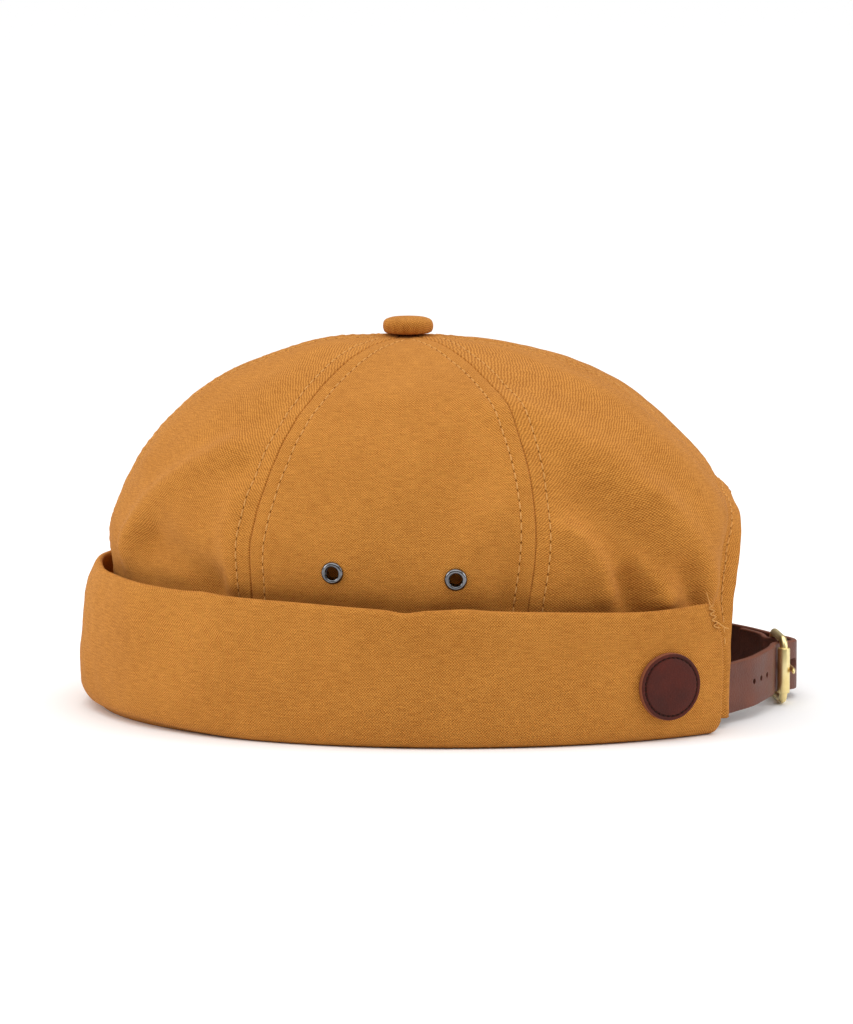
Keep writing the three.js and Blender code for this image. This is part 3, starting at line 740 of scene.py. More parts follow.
def add_mesh(name, points, faces, material, flat=None, edge=None, smooth=True):
    """A closed mesh object, facing outwards, from points in millimetres.

    The flat layout in millimetres becomes its UVs, and the edge, from 0 to 1, marks cut leather, whose
    lighter tone on the strap is partly a painted highlight.
    """
    mesh = bpy.data.meshes.new(name)
    points = np.asarray(points, float).reshape(-1, 3)
    faces = [list(map(int, face)) for face in faces]
    if signed_volume(points, faces) < 0:
        faces = [face[::-1] for face in faces]
    mesh.from_pydata(((points + (0, MIDDLE_Y, 0)) * MM).tolist(), [], faces)
    if edge is not None:
        mesh.attributes.new("edge", "FLOAT", "POINT").data.foreach_set("value", np.ravel(edge))
    if flat is not None:
        corners = np.empty(len(mesh.loops), np.int32)
        mesh.loops.foreach_get("vertex_index", corners)
        layer = mesh.uv_layers.new(name="cloth")
        layer.data.foreach_set("uv", np.asarray(flat, np.float32).reshape(-1, 2)[corners].ravel())
    mesh.polygons.foreach_set("use_smooth", np.full(len(mesh.polygons), smooth))
    mesh.materials.append(material)
    mesh.update()
    return add_object(name, mesh)


def place_piece(piece, slot, *nodes):
    """Fixes a piece to the cap and shows it for its CAD nodes. The slot is not used."""
    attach(piece, "root")
    if nodes:
        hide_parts(*nodes)


def apply_modifiers(piece):
    depsgraph = bpy.context.evaluated_depsgraph_get()
    mesh = bpy.data.meshes.new_from_object(piece.evaluated_get(depsgraph))
    piece.modifiers.clear()
    piece.data = mesh


def cut_with(piece, tools):
    """Cuts bodies out of a piece and removes them."""
    for tool in tools:
        modifier = piece.modifiers.new("cut", "BOOLEAN")
        modifier.object = tool
        modifier.operation = "DIFFERENCE"
        modifier.solver = "EXACT"
    apply_modifiers(piece)
    for tool in tools:
        bpy.data.objects.remove(tool)


def lathe(profile, place, axis, steps):
    """Points and faces of a closed profile of (radius, height) turned round an axis at a place."""
    axis = unit(np.asarray(axis, float))
    helper = (0.0, 0.0, 1.0) if abs(axis[2]) < UPRIGHT else (1.0, 0.0, 0.0)
    side = unit(np.cross(helper, axis))
    up = np.cross(axis, side)
    turn = np.linspace(0, 2 * math.pi, steps, endpoint=False)
    ring = np.cos(turn)[:, None] * side + np.sin(turn)[:, None] * up
    profile = np.asarray(profile, float)
    points = np.asarray(place) + ring[:, None, :] * profile[None, :, :1] + axis * profile[None, :, 1:]
    return points.reshape(-1, 3), loop_faces(steps, len(profile), closed=True)


def tube(path, up, half_width, half_height, sides, closed=False):
    """Points and faces of an oval bar along a path. Its height is measured along the up direction."""
    path = np.asarray(path, float)
    tangent = np.gradient(path, axis=0)
    if closed:
        tangent = np.roll(path, -1, axis=0) - np.roll(path, 1, axis=0)
    side = unit(np.cross(tangent, up))
    up = unit(np.cross(side, tangent))
    turn = np.linspace(0, 2 * math.pi, sides, endpoint=False)
    wide, high = (np.broadcast_to(half, len(path))[:, None, None] for half in (half_width, half_height))
    across = wide * np.cos(turn)[None, :, None] * side[:, None]
    points = path[:, None] + across + high * np.sin(turn)[None, :, None] * up[:, None]
    faces = loop_faces(len(path), sides, True) if closed else capped_faces(len(path), sides)
    return points.reshape(-1, 3), faces


def joined(bodies):
    """Points and faces of many bodies as one."""
    points, faces, total = [], [], 0
    for body_points, body_faces in bodies:
        points.append(body_points)
        faces += [[index + total for index in face] for face in body_faces]
        total += len(body_points)
    return np.concatenate(points), faces


def peg(place, axis, radius, length, stretch=(0.0, 0.0, 0.0)):
    """A round body to cut a hole with, or a slot if its two halves are moved apart."""
    half = length / 2
    profile = [(PEG_CORE, -half), (radius, -half), (radius, half), (PEG_CORE, half)]
    points, faces = lathe(profile, place, axis, PEG_STEPS)
    stretch = np.asarray(stretch)
    points = points + np.sign((points - place) @ stretch)[:, None] * stretch / 2
    return add_mesh("peg", points, faces, canvas, smooth=False)


# Materials

class Shader:
    """A procedural material, put together a node at a time."""

    def __init__(self, name, roughness, metallic=0.0, specular=0.5):
        self.material = bpy.data.materials.new(name)
        self.material.use_nodes = True
        self.tree = self.material.node_tree
        self.surface = self.tree.nodes["Principled BSDF"]
        self.set("Roughness", roughness)
        self.set("Metallic", metallic)
        self.set("Specular IOR Level", specular)

    def feed(self, socket, value):
        if isinstance(value, bpy.types.NodeSocket):
            self.tree.links.new(value, socket)
        else:
            socket.default_value = value

    def set(self, socket, value):
        self.feed(self.surface.inputs[socket], value)

    def add(self, kind, inputs, **settings):
        node = self.tree.nodes.new(kind)
        for key, value in settings.items():
            setattr(node, key, value)
        for socket, value in inputs.items():
            self.feed(node.inputs[socket], value)
        return node

    def place(self):
        return self.add("ShaderNodeTexCoord", {}).outputs["Object"]

    def math(self, operation, a, b=0.0):
        return self.add("ShaderNodeMath", {0: a, 1: b}, operation=operation).outputs[0]

    def vector(self, operation, a, b):
        return self.add("ShaderNodeVectorMath", {0: a, 1: b}, operation=operation).outputs[0]

    def stretched(self, vector, scale):
        return self.add("ShaderNodeMapping", {"Vector": vector, "Scale": scale}).outputs["Vector"]

    def noise(self, vector, scale, detail, output="Fac"):
        inputs = {"Vector": vector, "Scale": scale, "Detail": detail}
        return self.add("ShaderNodeTexNoise", inputs).outputs[output]

    def spread(self, noise, low, high):
        """Stretches the range that a noise mostly keeps to over another range."""
        names = ("From Min", "From Max", "To Min", "To Max")
        inputs = {"Value": noise, **dict(zip(names, (*NOISE_RANGE, low, high)))}
        return self.add("ShaderNodeMapRange", inputs).outputs["Result"]

    def mix(self, factor, a, b):
        inputs = {MIX_FACTOR: factor, MIX_FIRST: a, MIX_SECOND: b}
        return self.add("ShaderNodeMix", inputs, data_type="RGBA").outputs[MIX_RESULT]

    def bump(self, height, distance, strength):
        inputs = {"Height": height, "Distance": distance, "Strength": strength}
        self.set("Normal", self.add("ShaderNodeBump", inputs).outputs["Normal"])


def canvas_material(name, tones):
    """Plain-weave cotton: crossing yarns, some thicker than others, one set of crossings lighter and the
    other darker, partly the yarns' own colour and partly painted shade of their tilt.
    """
    shader = Shader(name, CANVAS_ROUGHNESS, specular=CLOTH_SPECULAR)
    flat = shader.add("ShaderNodeUVMap", {}, uv_map="cloth").outputs["UV"]
    wander = shader.noise(flat, WANDER_SCALE, CLOUDY, "Color")
    yarns = shader.vector("ADD", flat, shader.vector("MULTIPLY", wander, YARN_WANDER))
    split = shader.add("ShaderNodeSeparateXYZ", {0: yarns}).outputs
    across = shader.math("SINE", shader.math("MULTIPLY", split["X"], math.pi / YARN_PITCH))
    along = shader.math("SINE", shader.math("MULTIPLY", split["Y"], math.pi / YARN_PITCH))
    over = shader.math("MULTIPLY", across, along)
    weft = shader.noise(shader.stretched(flat, (SLUB_LENGTH, SLUB_WIDTH, 1.0)), 1.0, PLAIN)
    warp = shader.noise(shader.stretched(flat, (SLUB_WIDTH, SLUB_LENGTH, 1.0)), 1.0, PLAIN)
    weft_part = shader.math("MULTIPLY", weft, WEFT_SHARE)
    slub = shader.math("ADD", weft_part, shader.math("MULTIPLY", warp, 1 - WEFT_SHARE))
    # Crossings where one set of yarns lies over are lighter, the others darker: partly the yarns' own
    # colour, partly painted shade
    tone = shader.math("MULTIPLY", over, CROSSING_COLOUR_AND_SHADE)
    tone = shader.math("ADD", tone, shader.spread(slub, -SLUB_TONE, SLUB_TONE))
    tone = shader.math("ADD", tone, shader.spread(shader.noise(flat, MOTTLE_SCALE, CLOUDY), *MOTTLE_TONES))
    shader.set("Base Color", shader.mix(tone, *tones))
    crest = shader.math("ABSOLUTE", over)
    shader.bump(shader.math("ADD", crest, shader.math("MULTIPLY", over, OVER_HEIGHT)), *WEAVE_BUMP)
    shader.set("Sheen Weight", SHEEN)
    shader.set("Sheen Roughness", SHEEN_ROUGHNESS)
    return shader.material


def leather_material(name, tones, raw_and_highlight, roughness):
    """Waxed leather with fine grain, pores and a cloudy colour, and another tone along its cut edges,
    which on the strap is partly a painted highlight.
    """
    shader = Shader(name, roughness, specular=LEATHER_SPECULAR)
    place = shader.place()
    cloud = shader.noise(place, LEATHER_CLOUD, CLOUDY)
    cells = shader.add("ShaderNodeTexVoronoi", {"Vector": place, "Scale": LEATHER_GRAIN})
    pores = shader.noise(place, LEATHER_PORES, GRAINY)
    pore_tone = shader.spread(pores, -PORE_TONE, PORE_TONE)
    tone = shader.math("ADD", shader.spread(cloud, 0.0, LEATHER_CLOUD_TONE), pore_tone)
    edge = shader.add("ShaderNodeAttribute", {}, attribute_name="edge").outputs["Fac"]
    shader.set("Base Color", shader.mix(edge, shader.mix(tone, *tones), raw_and_highlight))
    height = shader.math("MULTIPLY", pores, PORE_HEIGHT)
    shader.bump(shader.math("ADD", cells.outputs["Distance"], height), *LEATHER_BUMP)
    low, high = LEATHER_GLOSS
    shader.set("Roughness", shader.spread(cloud, roughness + low, roughness + high))
    return shader.material


def metal_material(name, tones, roughness):
    """Plated metal with faint scratches and cloudy tarnish."""
    shader = Shader(name, roughness, metallic=1.0)
    place = shader.place()
    scratches = shader.noise(shader.stretched(place, SCRATCH_STRETCH), 1.0, PLAIN)
    tarnish = shader.spread(shader.noise(place, TARNISH, CLOUDY), 0.0, 1.0)
    shader.set("Base Color", shader.mix(tarnish, *tones))
    low, high = METAL_GLOSS
    shader.set("Roughness", shader.spread(scratches, roughness + low, roughness + high))
    shader.bump(scratches, *SCRATCH_BUMP)
    return shader.material


def thread_material(name, tones):
    """Twisted sewing thread."""
    shader = Shader(name, THREAD_ROUGHNESS, specular=CLOTH_SPECULAR)
    fibres = shader.noise(shader.place(), FIBRES, PLAIN)
    shader.set("Base Color", shader.mix(shader.spread(fibres, 0.0, 1.0), *tones))
    shader.bump(fibres, *FIBRE_BUMP)
    return shader.material


canvas = canvas_material("canvas", CANVAS_TONES)
thread = thread_material("thread", THREAD_TONES)
pit_shade = thread_material("pit_shade", PIT_SHADE_TONES)
patch_leather = leather_material("patch_leather", PATCH_TONES, PATCH_RAW, PATCH_ROUGHNESS)
strap_leather = leather_material("strap_leather", STRAP_TONES, STRAP_RAW_AND_HIGHLIGHT, STRAP_ROUGHNESS)
dark_thread = thread_material("dark_thread", DARK_THREAD_TONES)
brass = metal_material("brass", BRASS_TONES, BRASS_ROUGHNESS)
gunmetal = metal_material("gunmetal", GUNMETAL_TONES, GUNMETAL_ROUGHNESS)


# Crown

def seam_relief(distance, travel):
    """Relief beside a seam: groove, puffed allowance, dip and puckers along the stitches."""
    puff = PUFF * (1 - smoothstep(distance, *PUFF_FADE))
    groove = GROOVE_DEPTH * np.exp(-((distance / GROOVE_REACH) ** 2))
    from_row = distance - STITCH_OFFSET
    dip = STITCH_DIP * np.exp(-((from_row / STITCH_DIP_REACH) ** 2))
    near = np.exp(-((from_row / PUCKER_REACH) ** 2))
    pucker = PUCKER * np.sin(2 * math.pi * travel / STITCH_PITCH) * near
    return puff - groove - dip + pucker


def nearest_distance(points, line):
    flat = points.reshape(-1, 3)
    nearest = np.full(len(flat), np.inf)
    for vertex in line:
        nearest = np.minimum(nearest, np.linalg.norm(flat - vertex, axis=1))
    return nearest.reshape(points.shape[:-1])


def gore(name, first, last, mirrored):
    """One cloth gore between two seams, closed round its edges, and the grid that it is made on.

    A mirrored gore is laid out on the wearer's left first.
    """
    (first_angle, first_lean), (last_angle, last_lean) = first, last
    at_arch = name.startswith("back")
    low, high = math.radians(first_angle), math.radians(last_angle)
    end_theta, end_share = lower_edge(low, high, at_arch)
    part = crowded(GORE_COLUMNS)
    lean = np.radians(first_lean + (last_lean - first_lean) * part)
    top_theta = low + (high - low) * part + lean
    rows = np.linspace(0, 1, GORE_ROWS + 1)[:, None]
    share = TOP_SHARE + (end_share - TOP_SHARE) * rows
    theta = end_theta + (top_theta - end_theta) * (1 - rows)
    plain = plain_crown(theta, share)
    steps = np.linalg.norm(np.diff(plain, axis=1), axis=2)
    from_first = np.concatenate([np.zeros((len(rows), 1)), np.cumsum(steps, axis=1)], axis=1)
    from_last = from_first[:, -1:] - from_first
    travel = share * MERIDIAN_LENGTH
    relief = seam_relief(np.minimum(from_first, from_last), travel)
    to_edge = np.full_like(share, np.inf)
    if at_arch:
        to_edge = nearest_distance(plain, plain_crown(*arch_on_crown(0.0, ARCH_STEPS)))
        hem = seam_relief(to_edge, travel) + GROOVE_DEPTH * np.exp(-((to_edge / GROOVE_REACH) ** 2))
        hem -= HEM_EDGE * np.clip(1 - to_edge / HEM_EDGE, 0, 1) ** 2
        seam_share = smoothstep(to_edge, *SEAM_FADE)
        relief = np.maximum(relief * seam_share, np.where(relief < 0, -np.inf, 0)) + hem
    turned = -theta if mirrored else theta
    outside = crown(turned, share, relief)
    inside = crown(turned, share, -CLOTH)
    count = GORE_COLUMNS + 1
    total = outside[..., 0].size
    index = np.arange(total).reshape(-1, count)
    rim = np.concatenate([index[0, :-1], index[:-1, -1], index[-1, :0:-1], index[:0:-1, 0]])
    ahead = np.roll(rim, -1)
    faces = np.concatenate(
        [
            grid_faces(GORE_ROWS + 1, count),
            grid_faces(GORE_ROWS + 1, count, total, flip=True),
            np.stack([rim, rim + total, ahead + total, ahead], -1),
        ]
    )
    middle = (low + high) / 2
    either = [plain_crown(middle + step, share) for step in (LAYOUT_STEP, -LAYOUT_STEP)]
    across = np.linalg.norm(np.subtract(*either), axis=-1) / (2 * LAYOUT_STEP)
    layout = np.stack([(theta - middle) * across, travel], -1).reshape(-1, 2)
    points = np.concatenate([outside.reshape(-1, 3), inside.reshape(-1, 3)])
    piece = add_mesh(f"gore_{name}", points, faces, canvas, np.concatenate([layout, layout]))
    surface = np.concatenate([outside, crown_normal(turned, share)], -1)
    grid = {"surface": surface, "from_first": from_first, "from_last": from_last, "to_edge": to_edge}
    return piece, grid


gores = {}
grids = {}
for number, gore_name in enumerate(GORES):
    mirrored = gore_name.endswith("right")
    left = len(GORES) - 1 - number if mirrored else number
    gores[gore_name], grids[gore_name] = gore(gore_name, SEAMS[left], SEAMS[left + 1], mirrored)
    place_piece(gores[gore_name], "canvas", f"panel_{gore_name}")


# Stitches on the crown

def seam_row(grid, side):
    """Points and directions of the row of stitches beside one of a gore's two seams."""
    row = []
    for distances, points, to_edge in zip(grid[side], grid["surface"], grid["to_edge"]):
        order = np.argsort(distances)
        wide_enough = distances.max() > 2 * STITCH_OFFSET
        point = at_distances(points[order], distances[order], STITCH_OFFSET)
        if wide_enough and np.interp(STITCH_OFFSET, distances[order], to_edge[order]) > 2 * STITCH_OFFSET:
            row.append(point)
    return np.array(row)


def hem_row(grid):
    """Points and directions of the row of stitches along a rear gore's arched edge."""
    row = []
    for to_edge, points in zip(grid["to_edge"].T, np.swapaxes(grid["surface"], 0, 1)):
        upwards, points = to_edge[::-1], points[::-1]
        beyond = int(np.argmax(upwards >= STITCH_OFFSET))
        if beyond > 0:
            pair = slice(beyond - 1, beyond + 1)
            row.append(at_distances(points[pair], upwards[pair], STITCH_OFFSET))
    return np.array(row)


def stitch_row(row):
    """Bars of thread at an even pitch along a row, each dipping into the cloth at both ends."""
    distances = travelled(row[:, :3])
    bodies = []
    for middle in np.arange(STITCH_PITCH / 2, distances[-1], STITCH_PITCH):
        spot = at_distances(row, distances, middle + STITCH_LENGTH / 2 * STITCH_PARTS)
        normal = unit(spot[:, 3:])
        path = spot[:, :3] + normal * STITCH_LIFTS[:, None]
        bodies.append(tube(path, normal, STITCH_WIDTH / 2, STITCH_WIDTH / 2, THREAD_SIDES))
    return bodies


def needle_holes(row):
    """Small pits between the stitches of a row, coloured dark as painted shade inside the needle holes."""
    distances = travelled(row[:, :3])
    bodies = []
    for middle in np.arange(STITCH_PITCH, distances[-1] - STITCH_PITCH, STITCH_PITCH):
        spot = at_distances(row, distances, middle + NEEDLE_HOLE * HOLE_PARTS)
        normal = unit(spot[:, 3:])
        radius = NEEDLE_HOLE / 2 * np.sqrt(HOLE_FULLNESS - HOLE_PARTS**2)
        bodies.append(tube(spot[:, :3], normal, radius, radius / 2, THREAD_SIDES))
    return bodies


for gore_name, grid in grids.items():
    rows = [seam_row(grid, "from_first"), seam_row(grid, "from_last")]
    if gore_name.startswith("back"):
        rows.append(hem_row(grid))
    stitches = [body for row in rows for body in stitch_row(row)]
    holes = [body for row in rows for body in needle_holes(row)]
    place_piece(add_mesh(f"stitches_{gore_name}", *joined(stitches), thread), "canvas")
    place_piece(add_mesh(f"needle_holes_{gore_name}", *joined(holes), pit_shade), "canvas")


# Cuff

def cuff_top(theta):
    """Height of the cuff's top edge at angles in radians."""
    angle = np.degrees(theta)
    spread = np.linspace(-TOP_SMOOTHING, TOP_SMOOTHING, TOP_SMOOTHING_STEPS)
    heights = np.interp(np.abs(angle[..., None] + spread), *np.transpose(CUFF_TOP)).mean(-1)
    for middle, reach, height in TOP_BUMPS:
        away = (angle - middle + 180) % 360 - 180
        heights = heights + height * np.exp(-((away / reach) ** 2))
    return heights


def cuff_surface(theta, inset, z):
    """Points of the cuff at angles, distances inside its outline and heights, with its soft waves."""
    theta, inset, z = np.broadcast_arrays(theta, inset, z)
    plain = np.stack([*outline(theta), z], -1)
    wave = sum(ripple(plain, *row) for row in CUFF_RIPPLES)
    wave = wave + smoothstep(z, *TOP_RIPPLE_SPAN) * ripple(plain * TOP_RIPPLE_SQUASH, *TOP_RIPPLE)
    wave = wave * smoothstep(z, *RIPPLE_FADE)
    front = np.exp(-((np.degrees(theta) / FRONT_LEAN_ANGLE) ** 2))
    wave = wave - FRONT_LEAN * front * smoothstep(z, *FRONT_LEAN_SPAN)
    moved = inset - np.where(inset < INNER_LEG, wave, 0.0)
    x, y = np.where(inset < WALL_INSET, outline(theta, moved), wall(theta, moved))
    from_end = np.radians(CUFF_END) - np.abs(theta)
    reach = from_end * np.hypot(HALF_WIDTH * np.cos(theta), HALF_LENGTH * np.sin(theta)) / END_LEAN_REACH
    lean = END_LEAN * smoothstep(z, *END_LEAN_SPAN) + END_CORNER * (1 - smoothstep(z, *END_CORNER_SPAN))
    back = -np.sign(theta) * lean * np.exp(-(np.maximum(reach, 0) ** 2))
    along = unit(np.stack([HALF_WIDTH * np.cos(theta), HALF_LENGTH * np.sin(theta)], -1))
    rise = FRONT_RISE * (1 - smoothstep(np.abs(np.degrees(theta)), *FRONT_RISE_ANGLES))
    rise = rise * (1 - smoothstep(z, *FRONT_RISE_HEIGHTS)) * (1 - smoothstep(inset, *FRONT_RISE_INSETS))
    return np.stack([x + back * along[..., 0], y + back * along[..., 1], z + rise], -1)


def cuff_face(theta, z, lift):
    """Points that lie at a height above the cuff's outer face."""
    insets, heights = np.transpose(CUFF_SECTION)
    outer = slice(np.argmax(heights) + 1)
    return cuff_surface(theta, np.interp(z, heights[outer], insets[outer]) - lift, z)


def cuff():
    """The turned-up cuff, swept along its outline, with rounded ends."""
    section = smooth_curve(CUFF_SECTION, SECTION_REFINE, closed=True)
    tangent = unit(np.roll(section, -1, axis=0) - np.roll(section, 1, axis=0))
    inwards = np.stack([tangent[:, 1], -tangent[:, 0]], -1)
    fine = np.radians(np.linspace(-CUFF_END, CUFF_END, OUTLINE_STEPS))
    distances = travelled(np.stack(outline(fine), -1))
    stations = np.linspace(0, distances[-1], CUFF_STATIONS)
    turns = np.linspace(0, math.pi / 2, END_ROUND_STEPS + 1)
    shrink = END_ROUND * (1 - np.sin(turns))
    edge = END_ROUND * (1 - np.cos(turns))
    stations[: len(turns)] = edge
    stations[-len(turns) :] = distances[-1] - edge[::-1]
    shrinks = np.zeros(CUFF_STATIONS)
    shrinks[: len(turns)] = shrink
    shrinks[-len(turns) :] = shrink[::-1]
    theta = np.interp(stations, distances, fine)[:, None]
    shaped = section + inwards * shrinks[:, None, None]
    inset, height = np.moveaxis(shaped, -1, 0)
    stretch = (cuff_top(theta) - SECTION_HEIGHT) * smoothstep(height, *SECTION_STRETCH)
    points = cuff_surface(theta, inset, height + stretch)
    faces = capped_faces(CUFF_STATIONS, len(section))
    round_section = travelled(np.concatenate([section, section[:1]]))[:-1]
    flat = np.stack(np.broadcast_arrays(stations[:, None], round_section), -1)
    return add_mesh("cuff_cloth", points, faces, canvas, flat)


place_piece(cuff(), "canvas", "cuff")


def bar_tack(side):
    """Zigzag thread that sews an end of the cuff down, with its loose threads."""
    heights = np.linspace(*TACK_HEIGHTS, TACK_SWINGS)
    arc = HALF_LENGTH * math.sin(math.radians(CUFF_END))
    swing = TACK_WIDTH / 2 * np.where(np.arange(TACK_SWINGS) % 2, 1, -1)
    zigzag = np.stack([TACK_FROM_END + swing, heights, np.full(TACK_SWINGS, TACK_RADIUS)], -1)
    bodies = []
    for path in (zigzag, *LOOSE_THREADS):
        from_end, z, lift = np.transpose(path)
        theta = side * (math.radians(CUFF_END) - from_end / arc)
        line = smooth_curve(cuff_face(theta, z, lift), TACK_REFINE)
        outwards = TACK_OUTWARDS * (side, 1, 1)
        bodies.append(tube(line, outwards, TACK_RADIUS, TACK_RADIUS, THREAD_SIDES))
    return bodies


place_piece(add_mesh("bar_tacks", *joined(bar_tack(1) + bar_tack(-1)), thread), "canvas")


# Button

def button():
    """Cloth-covered button, gathered round its lower edge."""
    profile = smooth_curve(BUTTON_PROFILE, BUTTON_REFINE)
    turn = np.linspace(0, 2 * math.pi, BUTTON_STEPS, endpoint=False)[:, None]
    radius, height = profile.T
    lower = 1 - smoothstep(height, *GATHER_SPAN)
    gathers = GATHER_DEPTH * lower * (1 + np.cos(GATHERS * turn)) * radius / radius.max()
    radius = np.maximum(radius, BUTTON_CENTRE) - gathers
    z = BUTTON_BASE + np.broadcast_to(height, radius.shape)
    points = np.stack([radius * np.sin(turn), APEX_Y - radius * np.cos(turn), z], -1)
    length = travelled(profile)[-1] - travelled(profile)
    flat = np.stack([length * np.sin(turn), length * np.cos(turn)], -1)
    faces = loop_faces(BUTTON_STEPS, len(profile), closed=True)
    return add_mesh("button_cover", points, faces, canvas, flat)


place_piece(button(), "canvas", "button")


# Eyelets

def seat_on_crown(angle, height):
    """A place on the folded crown and its outward direction."""
    theta, share = math.radians(angle), float(share_at_height(height))
    either = np.array([SEAT_STEP, -SEAT_STEP])
    along = np.subtract(*crown(theta + either, np.full(2, share)))
    down = np.subtract(*crown(np.full(2, theta), share + either))
    return crown(np.array([theta]), np.array([share]))[0], unit(np.cross(down, along))


for eyelet_name, (angle, height) in EYELET_PLACES.items():
    place, axis = seat_on_crown(angle, height)
    side_name = "side_" + eyelet_name.split("_")[0]
    cut_with(gores[side_name], [peg(place, axis, EYELET_HOLE, EYELET_HOLE_DEPTH)])
    ring_shape = lathe(EYELET_PROFILE, place, axis, EYELET_STEPS)
    ring = add_mesh(f"eyelet_ring_{eyelet_name}", *ring_shape, gunmetal)
    place_piece(ring, "eyelet_metal", f"eyelet_{eyelet_name}")


# Patch

def patch_point(radius, turn, lift):
    middle = math.radians(PATCH_ANGLE)
    arc = math.hypot(HALF_WIDTH * math.cos(middle), HALF_LENGTH * math.sin(middle))
    theta = middle + radius * np.cos(turn) / arc
    return cuff_face(theta, PATCH_HEIGHT + radius * np.sin(turn), lift)


def patch():
    """Leather disc that follows the cuff, with a sunk ring for its stitches."""
    profile = smooth_curve(PATCH_PROFILE, PATCH_REFINE)
    turn = np.linspace(0, 2 * math.pi, PATCH_STEPS, endpoint=False)[:, None]
    share, lift = profile.T
    radius = PATCH_RADIUS * np.maximum(share, PATCH_CENTRE)
    points = patch_point(radius, turn, np.broadcast_to(lift, (PATCH_STEPS, len(profile))))
    faces = loop_faces(PATCH_STEPS, len(profile), closed=True)
    edge = (1 - smoothstep(lift, *PATCH_EDGE)) * (share > PATCH_EDGE_FROM)
    edge = np.broadcast_to(edge, points.shape[:2])
    return add_mesh("patch_disc", points, faces, patch_leather, edge=edge)


def patch_stitches():
    radius = PATCH_RADIUS * PATCH_RING
    bodies = []
    for turn in np.linspace(0, 2 * math.pi, PATCH_STITCHES, endpoint=False):
        turns = turn + STITCH_PARTS * PATCH_STITCH_SHARE * math.pi / PATCH_STITCHES
        path = patch_point(radius, turns, PATCH_STITCH_LIFT + STITCH_LIFTS)
        outwards = patch_point(radius, turns, PATCH_OUTWARDS) - path
        bodies.append(tube(path, outwards, STITCH_WIDTH / 2, STITCH_WIDTH / 2, THREAD_SIDES))
    return bodies


place_piece(patch(), "patch_leather", "patch")
place_piece(add_mesh("patch_stitches", *joined(patch_stitches()), dark_thread), "patch_leather")


# Strap

def strap_line(path):
    """Even points along a strap's middle."""
    line = smooth_curve(path, STRAP_REFINE)
    distances = travelled(line)
    return at_distances(line, distances, np.linspace(0, distances[-1], STRAP_STATIONS))


def strap_anchor(side, height):
    """Where the strap lies against the inside of the wall."""
    inset = WALL_INSET + CLOTH + STRAP_CLEARANCE + STRAP_THICKNESS / 2
    x, y = wall(side * np.radians(ANCHOR_ANGLES), inset)
    return np.stack([x, y, np.full_like(x, height)], -1)


def across_strap(line):
    tangent = np.gradient(line, axis=0)
    return unit(np.stack([-tangent[:, 1], tangent[:, 0], np.zeros(len(line))], -1))


def strap_section():
    """Rounded rectangle: offset through the thickness and up the width."""
    flat_half = STRAP_WIDTH / 2 - STRAP_ROUND
    thin_half = STRAP_THICKNESS / 2 - STRAP_ROUND
    points = []
    for corner, (thin, flat) in enumerate([(1, 1), (-1, 1), (-1, -1), (1, -1)]):
        turns = math.pi / 2 * (corner + np.linspace(0, 1, STRAP_ROUND_STEPS + 1))
        rounded = STRAP_ROUND * np.stack([np.cos(turns), np.sin(turns)], -1)
        points.append(rounded + (thin * thin_half, flat * flat_half))
        if thin * flat < 0:
            face = np.linspace(flat, -flat, STRAP_FACE_STEPS)[1:-1] * flat_half
            points.append(np.stack([np.full_like(face, thin * STRAP_THICKNESS / 2), face], -1))
    return np.concatenate(points)


def strap(name, line, round_end):
    """A leather strap standing on edge along a line, with softened edges."""
    thick, wide = strap_section().T
    distances = travelled(line)
    to_end = np.clip((distances[-1] - distances) / TAIL_ROUND, 0.0, 1.0)
    width = np.sqrt(1 - (1 - to_end) ** 3 * (1 - TAIL_TIP)) if round_end else np.ones(len(line))
    points = line[:, None] + across_strap(line)[:, None] * thick[None, :, None]
    points[..., 2] += width[:, None] * wide
    faces = capped_faces(len(line), len(wide))
    # Lighter tone along the top and bottom edges: the cut leather, and partly a painted highlight
    beyond = np.abs(wide) - (STRAP_WIDTH / 2 - STRAP_ROUND)
    edge = np.broadcast_to(smoothstep(beyond, 0.0, STRAP_ROUND), points.shape[:2])
    return add_mesh(name, points, faces, strap_leather, edge=edge)


def in_cap(local):
    """Points from the buckle's own frame in the cap's."""
    x, y, z = np.moveaxis(np.asarray(local, float), -1, 0)
    turn = math.radians(BUCKLE_TURN)
    turned = [x * math.cos(turn) - y * math.sin(turn), x * math.sin(turn) + y * math.cos(turn), z]
    return np.stack(turned, -1) + BUCKLE_PLACE


def prong_slot(low, high):
    """A body that leaves room for the prong between two places along the buckle."""
    middle = in_cap(((low + high) / 2, PRONG_HALF_WIDTH, 0.0))
    along = in_cap((1.0, 0.0, 0.0)) - BUCKLE_PLACE
    radius = PRONG_HALF_WIDTH + PRONG_CLEARANCE
    across = in_cap((0.0, 1.0, 0.0)) - BUCKLE_PLACE
    return peg(middle, across, radius, PRONG_SLOT_DEPTH, along * (high - low - 2 * radius))


tail_line = strap_line(np.concatenate([strap_anchor(1, TAIL_ANCHOR_HEIGHT), TAIL_PATH]))
strap_tail = strap("strap_tail_leather", tail_line, round_end=True)
hole_tools = [prong_slot(*PRONG_SLOT_TAIL)]
for hole_x in TAIL_HOLES:
    station = int(np.argmin(np.abs(tail_line[:, 0] - hole_x)))
    axis = across_strap(tail_line)[station]
    hole_tools.append(peg(tail_line[station], axis, HOLE_RADIUS, HOLE_DEPTH))
cut_with(strap_tail, hole_tools)
place_piece(strap_tail, "strap_leather", "strap_tail")

